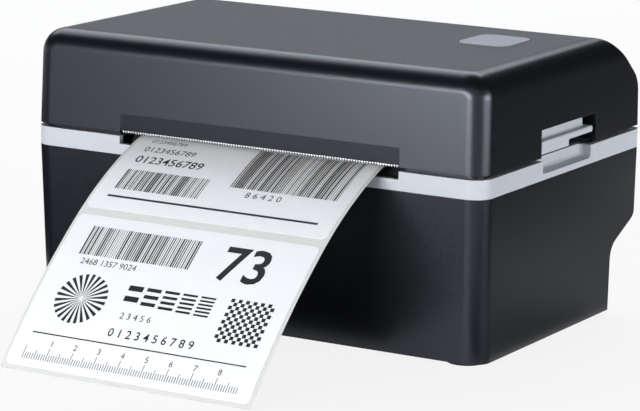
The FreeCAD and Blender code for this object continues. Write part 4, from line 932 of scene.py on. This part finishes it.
@dataclass
class LabelStrip:
    """Labels on their liner, with a plain test print of bars, digits, a star, checks and ticks."""

    materials: dict[str, bpy.types.Material]
    width: float = 104.0 * MM
    margin: float = 1.3 * MM
    liner_thick: float = 0.2 * MM
    bond: float = 0.05 * MM
    label_thick: float = 0.12 * MM
    label_length: float = 66.2 * MM
    label_space: float = 3.6 * MM
    end_margin: float = 1.6 * MM
    corner: float = 2.4 * MM
    path: StripPath = field(init=False)
    middle: float = field(init=False)

    def __post_init__(self) -> None:
        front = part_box("base_housing")[0].y
        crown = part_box("platen_rubber")[1].z
        low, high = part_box("label_liner")
        self.middle = (low.x + high.x) / 2
        self.path = StripPath(
            tail=(front + 67 * MM, 66.8 * MM),
            nip=(front + 14 * MM, crown + 0.4 * MM),
            bends=((-22.0, 36 * MM), (-38.0, 155.5 * MM), (-60.0, 297.4 * MM)),
            end_height=0.2 * MM,
        )

    def ribbon(self, name: str, stations: list[tuple[float, float]], low: float, high: float) -> bpy.types.Mesh:
        """Closed ribbon along the path.

        Args:
            name: Name of the mesh.
            stations: Distance along the path and half width at each step.
            low: Height of the underside over the centre line.
            high: Height of the upper side.

        Returns:
            The mesh.
        """
        verts, faces = [], []
        for distance, half in stations:
            place = self.path.at(distance)
            for x, height in ((-half, high), (half, high), (half, low), (-half, low)):
                verts.append(place.lifted(self.middle + x, height))
        for index in range(len(stations) - 1):
            base = 4 * index
            for side in range(4):
                after = (side + 1) % 4
                faces.append((base + side, base + 4 + side, base + 4 + after, base + after))
        last = 4 * (len(stations) - 1)
        faces.extend([(0, 1, 2, 3), (last + 3, last + 2, last + 1, last)])
        mesh = bpy.data.meshes.new(name)
        mesh.from_pydata(verts, [], faces)
        return mesh

    def label_ends(self) -> list[tuple[float, float]]:
        """Start and end of each label, from the free end back.

        Returns:
            Pairs of distances along the path.
        """
        found = []
        end = self.path.length() - self.end_margin
        while end > self.label_space:
            start = max(end - self.label_length, self.end_margin)
            found.append((start, end))
            end = start - self.label_space
        return found

    def label_stations(self, start: float, end: float) -> list[tuple[float, float]]:
        """Outline of one label with rounded corners.

        Args:
            start: Where it begins along the path.
            end: Where it ends.

        Returns:
            Distance along the path and half width at each step.
        """
        half = self.width / 2 - self.margin
        turns = [index * math.pi / 16 for index in range(9)]
        corner = min(self.corner, (end - start) / 3)
        reach = [(corner * (1 - math.cos(turn)), half - corner * (1 - math.sin(turn))) for turn in turns]
        steps = max(2, int((end - start - 2 * corner) / (1.2 * MM)))
        inner = [start + corner + (end - start - 2 * corner) * k / steps for k in range(1, steps)]
        opening = [(start + away, wide) for away, wide in reach]
        closing = [(end - away, wide) for away, wide in reversed(reach)]
        return opening + [(distance, half) for distance in inner] + closing

    def build(self) -> list[bpy.types.Object]:
        """Make the liner, the labels and their print.

        Returns:
            The pieces.
        """
        total = self.path.length()
        steps = int(total / (1.2 * MM))
        stations = [(total * k / steps, self.width / 2) for k in range(steps + 1)]
        mesh = self.ribbon("strip_liner", stations, -self.liner_thick / 2, self.liner_thick / 2)
        liner = self._finish(new_piece("strip_liner", mesh), "liner_paper")
        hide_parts("label_liner")
        low = self.liner_thick / 2 + self.bond
        joined = bmesh.new()
        for start, end in self.label_ends():
            joined.from_mesh(self.ribbon("label", self.label_stations(start, end), low, low + self.label_thick))
        mesh = bpy.data.meshes.new("strip_labels")
        joined.to_mesh(mesh)
        joined.free()
        labels = self._finish(new_piece("strip_labels", mesh), "label_paper")
        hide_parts("die_cut_labels")
        printed = [
            self._print(index, start, end, low + self.label_thick)
            for index, (start, end) in enumerate(self.label_ends()[:2])
        ]
        log.info("strip %.1f mm long, %d labels", total / MM, len(self.label_ends()))
        return [liner, labels, *printed]

    def _finish(self, piece: bpy.types.Object, slot: str) -> bpy.types.Object:
        if not piece.data.materials:
            piece.data.materials.append(self.materials[slot])
        for face in piece.data.polygons:
            face.use_smooth = False
        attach(piece, "base")
        log.info("piece %s, %d faces", piece.name, len(piece.data.polygons))
        return piece

    def _print(self, index: int, start: float, end: float, top: float) -> bpy.types.Object:
        flat = FlatPrint(self.materials["label_ink"])
        (self._front_layout if index == 0 else self._rear_layout)(flat)
        left = self.middle - self.width / 2 + self.margin

        def place(u: float, v: float) -> Vector:
            return self.path.at(start + v).lifted(left + u, top + 0.03 * MM)

        piece = flat.wrapped(f"test_print_{index}", place, 1.5 * MM)
        return self._finish(piece, "label_paper")

    @staticmethod
    def _star(flat: FlatPrint, u: float, v: float, radius: float, rays: int) -> None:
        for ray in range(rays):
            angles = [(ray + share) * 2 * math.pi / rays for share in (0.0, 0.25, 0.5)]
            rim = [(u + radius * math.cos(a), v + radius * math.sin(a)) for a in reversed(angles)]
            flat.polygon([(u + 0.06 * radius * math.cos(angles[1]), v + 0.06 * radius * math.sin(angles[1])), *rim])

    @staticmethod
    def _checks(flat: FlatPrint, u: float, v: float, cell: float, count: int) -> None:
        for row in range(count):
            for column in range(row % 2, count, 2):
                across = (u + column * cell, u + (column + 1) * cell)
                flat.block(across, (v + row * cell, v + (row + 1) * cell))

    def _front_layout(self, flat: FlatPrint) -> None:
        bars, ticks = bar_tree(), tick_tree()
        flat.rows(bars, 9 * MM, 11.5 * MM, {"Count": 52, "Pitch": 0.9 * MM, "Height": 13 * MM, "Seed": 4})
        flat.digits("2468 1357 9024", 11 * MM, 22 * MM, 2.6 * MM)
        flat.digits("73", 66 * MM, 20 * MM, 15 * MM, 0.02)
        self._star(flat, 19 * MM, 36.5 * MM, 10.5 * MM, 24)
        for step in range(5):
            lines = step + 2
            pitch = 9 * MM / lines
            for line in range(lines):
                start = 28 * MM + line * pitch
                across = (36 * MM + step * 7.5 * MM, 42 * MM + step * 7.5 * MM)
                flat.block(across, (start, start + pitch * 0.5))
        flat.digits("2 3 4 5 6", 37.6 * MM, 42 * MM, 2.6 * MM)
        self._checks(flat, 78 * MM, 27 * MM, 1.5 * MM, 12)
        flat.digits("0 1 2 3 4 5 6 7 8 9", 36 * MM, 49.5 * MM, 3.4 * MM, 0.012)
        flat.block((6 * MM, 95 * MM), (52.3 * MM, 52.8 * MM))
        flat.rows(ticks, 6 * MM, 63.2 * MM, {"Count": 90, "Pitch": 1 * MM, "Height": 5 * MM, "Width": 0.25 * MM})
        for number in range(1, 9):
            flat.digits(str(number), 5.2 * MM + number * 10 * MM, 57.4 * MM, 2.4 * MM)

    def _rear_layout(self, flat: FlatPrint) -> None:
        bars = bar_tree()
        flat.digits("0123456789", 6 * MM, 27 * MM, 2.2 * MM)
        flat.digits("0123456789", 6 * MM, 33 * MM, 3.2 * MM)
        flat.digits("0123456789", 6 * MM, 40 * MM, 4.2 * MM, 0.01)
        flat.rows(bars, 52 * MM, 35 * MM, {"Count": 50, "Pitch": 0.9 * MM, "Height": 24 * MM, "Seed": 11})
        flat.digits("8 6 4 2 0", 60 * MM, 51.5 * MM, 3.0 * MM)
        flat.rows(bars, 7 * MM, 50 * MM, {"Count": 40, "Pitch": 0.9 * MM, "Height": 11 * MM, "Seed": 7})
        flat.block((6 * MM, 95 * MM), (59 * MM, 60 * MM))


@dataclass
class Fasteners:
    """Screws with a cross recess in place of the plain CAD ones, one mesh for each node."""

    materials: dict[str, bpy.types.Material]
    places: dict[str, tuple[str, Facing]] = field(
        default_factory=lambda: {
            "cover_screws": ("base", Facing.DOWN),
            "frame_screws": ("base", Facing.UP),
            "plate_screws": ("base", Facing.UP),
            "guide_cover_screws": ("base", Facing.DOWN),
            "board_screws": ("base", Facing.UP),
            "motor_screws": ("base", Facing.RIGHT),
            "liner_screws": ("lid", Facing.DOWN),
            "carrier_screws": ("lid", Facing.DOWN),
        }
    )

    @staticmethod
    def solids(node: str) -> list[tuple[Vector, Vector]]:
        """Boxes of the separate solids of a CAD node.

        Args:
            node: Name of the node.

        Returns:
            Lowest and highest corner of each solid.
        """
        mesh = bmesh.new()
        mesh.from_mesh(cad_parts[node].data)
        bmesh.ops.remove_doubles(mesh, verts=mesh.verts[:], dist=0.001 * MM)
        left = set(mesh.verts)
        found = []
        while left:
            group, stack = [], [left.pop()]
            while stack:
                vert = stack.pop()
                group.append(vert.co.copy())
                for edge in vert.link_edges:
                    other = edge.other_vert(vert)
                    if other in left:
                        left.remove(other)
                        stack.append(other)
            low = Vector([min(point[axis] for point in group) for axis in range(3)])
            high = Vector([max(point[axis] for point in group) for axis in range(3)])
            found.append((low, high))
        mesh.free()
        return found

    def build(self) -> list[bpy.types.Object]:
        """Make the screws of every node.

        Returns:
            The pieces.
        """
        tree = screw_tree()
        made = []
        for node, (body, facing) in self.places.items():
            aim = Vector(facing.value)
            axis = max(range(3), key=lambda index: abs(aim[index]))
            tips, length = [], 0.0
            for low, high in self.solids(node):
                tip = (low + high) / 2
                tip[axis] = high[axis] if aim[axis] > 0 else low[axis]
                tips.append(tip)
                length = high[axis] - low[axis]
            mesh = bpy.data.meshes.new(node + "_cross")
            mesh.from_pydata(tips, [], [])
            attribute = mesh.attributes.new("aim", "FLOAT_VECTOR", "POINT")
            for item in attribute.data:
                item.vector = aim
            piece = new_piece(node + "_cross", mesh)
            tree.run(
                piece,
                {
                    "Head Radius": 2.7 * MM,
                    "Head Height": 1.6 * MM,
                    "Shank Radius": 1.4 * MM,
                    "Length": length,
                    "Recess Width": 0.75 * MM,
                    "Recess Span": 3.2 * MM,
                    "Material": self.materials["screw_steel"],
                },
            )
            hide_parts(node)
            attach(piece, body)
            log.info("piece %s, %d screws, %d faces", piece.name, len(tips), len(piece.data.polygons))
            made.append(piece)
        return made


@dataclass
class HeadSprings:
    """Pressure springs of the head, kept as one copy of the CAD node."""

    materials: dict[str, bpy.types.Material]
    node: str = "head_springs"
    finish: str = "spring_steel"

    def build(self) -> bpy.types.Object:
        """Make the springs as one piece, a copy of the CAD node's mesh in their finish.

        Returns:
            The piece.
        """
        low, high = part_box(self.node)
        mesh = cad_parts[self.node].data.copy()
        mesh.materials.clear()
        mesh.materials.append(self.materials[self.finish])
        piece = new_piece("head_springs_pressed", mesh)
        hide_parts(self.node)
        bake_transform(piece)
        log.info("piece %s, %d faces", piece.name, len(mesh.polygons))
        return piece


@dataclass
class SubAssembly:
    """CAD nodes that are kept as they are and only dressed."""

    name: str
    nodes: tuple[str, ...]

    def dress(self, materials: dict[str, bpy.types.Material]) -> None:
        """Give each node the finish of its record slot.

        Args:
            materials: The materials by slot.
        """
        for node in self.nodes:
            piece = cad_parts[node]
            for holder in piece.material_slots:
                holder.material = materials[holder.material.name.split(".")[0]]
            log.info("%s: %s wears %s", self.name, node, piece.material_slots[0].material.name)


@dataclass(frozen=True)
class Softbox:
    """Rectangular studio lamp that looks at a point."""

    name: str
    place: tuple[float, float, float]
    target: tuple[float, float, float]
    size: tuple[float, float]
    radiance: float
    colour: Colour = (1.0, 1.0, 1.0)

    def build(self) -> bpy.types.Object:
        """Make the lamp.

        Returns:
            The lamp, unseen by the camera.
        """
        lamp = bpy.data.lights.new(self.name, "AREA")
        lamp.shape = "RECTANGLE"
        lamp.size, lamp.size_y = self.size
        lamp.energy = self.radiance * self.size[0] * self.size[1] * math.pi
        lamp.color = self.colour
        piece = bpy.data.objects.new(self.name, lamp)
        bpy.context.scene.collection.objects.link(piece)
        piece.location = self.place
        aim = Vector(self.target) - Vector(self.place)
        piece.rotation_euler = aim.to_track_quat("-Z", "Y").to_euler()
        piece.visible_camera = False
        return piece


@dataclass(frozen=True)
class Board:
    """Board that shapes what the gloss mirrors, as a photographer's flag does: no other ray meets it."""

    name: str
    corner: tuple[float, float, float]
    along: tuple[float, float, float]
    across: tuple[float, float, float]
    shade: float
    lift: float = 0.05 * MM

    def build(self) -> None:
        """Put the board in the studio, a hair over the floor."""
        corner = Vector(self.corner) + Vector((0.0, 0.0, self.lift))
        along, across = Vector(self.along), Vector(self.across)
        mesh = bpy.data.meshes.new(self.name)
        mesh.from_pydata([corner, corner + along, corner + along + across, corner + across], [], [(0, 1, 2, 3)])
        graph = Graph.fresh(self.name)
        felt = graph.add("BsdfDiffuse", {"Color": (self.shade, self.shade, self.shade)})
        graph.add("OutputMaterial", {"Surface": felt.outputs[0]})
        mesh.materials.append(graph.material)
        piece = new_piece(self.name, mesh)
        piece.visible_camera = piece.visible_diffuse = piece.visible_shadow = False


@dataclass
class Studio:
    """White floor out to a white horizon, soft lamps and dark boards in a dim room, and the photograph's camera."""

    front: float
    reach: float = 14.0
    albedo: float = 0.94
    lift: float = 0.86
    dim: float = 0.03
    horizon: tuple[float, float] = (0.065, 0.085)
    lamps: tuple[Softbox, ...] = (
        Softbox("lamp_rear", (-0.80, 0.89, 1.35), (0.0, 0.0, 0.05), (2.2, 1.2), 3.5, COOL),
        Softbox("lamp_backdrop", (-0.85, 1.6, 0.25), (-0.1, 0.0, 0.1), (1.4, 0.5), 0.4, COOL),
        Softbox("lamp_front", (-0.2, -1.2, 0.13), (0.0, 0.0, 0.06), (0.74, 0.26), 24.0),
        Softbox("lamp_right", (1.1, 0.06, 0.13), (0.0, 0.0, 0.06), (0.75, 0.26), 13.0),
        Softbox("lamp_fill", (1.1, -1.6, 0.75), (0.0, 0.0, 0.06), (1.8, 1.0), 0.8),
    )
    boards: tuple[Board, ...] = (
        Board("board_front", (-0.6, -0.25, 0.0), (0.65, 0.0, 0.0), (0.0, 0.22, 0.0), 0.05),
        Board("board_far_left", (-1.3, -1.1, 0.0), (0.85, 0.0, 0.0), (0.0, 0.85, 0.0), 0.05),
        Board("board_left", (-0.8, -0.03, 0.0), (0.65, 0.0, 0.0), (0.0, 0.3, 0.0), 0.03),
        Board("board_near_side", (0.1, -0.1, 0.0), (0.09, 0.0, 0.0), (0.0, 0.4, 0.0), 0.55),
        Board("board_side", (0.19, -0.1, 0.0), (0.9, 0.0, 0.0), (0.0, 1.1, 0.0), 0.02),
        Board("board_back", (0.15, 1.2, 0.0), (1.1, -0.5, 0.0), (0.0, 0.0, 0.5), 0.02),
    )

    def white(self) -> bpy.types.Material:
        """White of the floor: lit paper, lifted where it is seen, that keeps a shadow.

        Returns:
            The material.
        """
        graph = Graph.fresh("floor_white")
        path = graph.add("LightPath")
        seen = graph.math("MAXIMUM", path.outputs["Is Camera Ray"], path.outputs["Is Glossy Ray"])
        seen = graph.math("MAXIMUM", seen, path.outputs["Is Transmission Ray"])
        lit = graph.add("BsdfDiffuse", {"Color": (self.albedo, self.albedo, self.albedo)})
        glow = graph.add("Emission", {"Color": (1.0, 1.0, 1.0), "Strength": 1.0})
        share = graph.math("MULTIPLY", seen, self.lift)
        mix = graph.add("MixShader", {0: share, 1: lit.outputs[0], 2: glow.outputs[0]})
        graph.add("OutputMaterial", {"Surface": mix.outputs[0]})
        return graph.material

    def floor(self) -> None:
        """White floor."""
        far = self.reach
        mesh = bpy.data.meshes.new("floor")
        mesh.from_pydata([(-far, -far, 0.0), (far, -far, 0.0), (far, far, 0.0), (-far, far, 0.0)], [], [(0, 1, 2, 3)])
        mesh.materials.append(self.white())
        new_piece("floor", mesh)

    def surround(self) -> None:
        """Dim even light from the rest of the room, white along the horizon where the floor ends."""
        world = bpy.data.worlds.new("surround")
        bpy.context.scene.world = world
        world.use_nodes = True
        tree = world.node_tree
        tree.nodes.clear()
        where = tree.nodes.new("ShaderNodeTexCoord")
        split = tree.nodes.new("ShaderNodeSeparateXYZ")
        fade = tree.nodes.new("ShaderNodeMapRange")
        room = tree.nodes.new("ShaderNodeBackground")
        end = tree.nodes.new("ShaderNodeOutputWorld")
        fade.inputs["From Min"].default_value, fade.inputs["From Max"].default_value = self.horizon
        fade.inputs["To Min"].default_value = self.lift
        fade.inputs["To Max"].default_value = self.dim
        tree.links.new(where.outputs["Generated"], split.inputs[0])
        tree.links.new(split.outputs["Z"], fade.inputs["Value"])
        tree.links.new(fade.outputs[0], room.inputs["Strength"])
        tree.links.new(room.outputs[0], end.inputs[0])
        room.inputs["Color"].default_value = (1.0, 1.0, 1.0, 1.0)

    def camera(self) -> bpy.types.Object:
        """Camera of the photograph.

        Returns:
            The camera.
        """
        yaw, pitch, roll = (math.radians(angle) for angle in (30.145, 11.713, 1.0066))
        ahead = Vector((-math.sin(yaw) * math.cos(pitch), math.cos(yaw) * math.cos(pitch), -math.sin(pitch)))
        right = Vector((math.cos(yaw), math.sin(yaw), 0.0))
        above = right.cross(ahead)
        across = math.cos(roll) * right + math.sin(roll) * above
        upward = math.cos(roll) * above - math.sin(roll) * right
        data = bpy.data.cameras.new("photo_camera")
        data.sensor_width = 36.0
        data.lens = 178.99
        data.clip_start = 0.05
        piece = bpy.data.objects.new("photo_camera", data)
        bpy.context.scene.collection.objects.link(piece)
        turn = Matrix((across, upward, -ahead)).transposed().to_4x4()
        piece.matrix_world = Matrix.Translation((0.5969, self.front - 0.9757, 0.2871)) @ turn
        bpy.context.scene.camera = piece
        return piece

    def build(self) -> None:
        """Set up the whole studio."""
        self.floor()
        self.surround()
        for item in (*self.lamps, *self.boards):
            item.build()
        self.camera()
        bpy.context.scene.view_settings.view_transform = "Standard"
        log.info("studio with %d lamps", len(self.lamps))


ASSEMBLIES = (
    SubAssembly("casing", ("base_housing", "bottom_cover", "rubber_feet", "middle_frame", "lid_shell", "lid_liner")),
    SubAssembly("controls", ("feed_button", "button_board", "button_switch", "power_rocker", "switch_body")),
    SubAssembly(
        "latch",
        ("latch_lever_right", "latch_lever_left", "latch_shaft", "latch_springs", "latch_keepers", "hinge_pins"),
    ),
    SubAssembly(
        "platen",
        ("left_side_plate", "right_side_plate", "platen_bushes", "platen_shaft", "platen_rubber", "shaft_clips"),
    ),
    SubAssembly(
        "gear_train",
        ("platen_gear", "idler_gear", "idler_stud", "stepper_motor", "motor_shaft", "motor_pinion"),
    ),
    SubAssembly("guides", ("guide_right", "guide_left", "guide_pinion", "pinion_screw", "guide_cover")),
    SubAssembly(
        "head",
        (
            "head_carrier",
            "head_heatsink",
            "thermal_head",
            "head_connector",
            "head_pivot_pin",
            "tear_bar",
            "gap_sensor_lower",
            "gap_sensor_upper",
        ),
    ),
    SubAssembly("electronics", ("main_board", "board_components", "board_standoffs", "usb_socket", "dc_inlet")),
)


def clear_start_objects() -> None:
    """Remove what an empty Blender file starts with."""
    for name in ("Cube", "Light", "Camera"):
        found = bpy.data.objects.get(name)
        if found is not None:
            bpy.data.objects.remove(found)


def main() -> None:
    """Dress the frame, add the strip and the screws, and light it."""
    clear_start_objects()
    materials = Finishes().build()
    for assembly in ASSEMBLIES:
        assembly.dress(materials)
    LabelStrip(materials).build()
    Fasteners(materials).build()
    HeadSprings(materials).build()
    Studio(front=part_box("base_housing")[0].y).build()


if __name__ == "__main__":
    main()
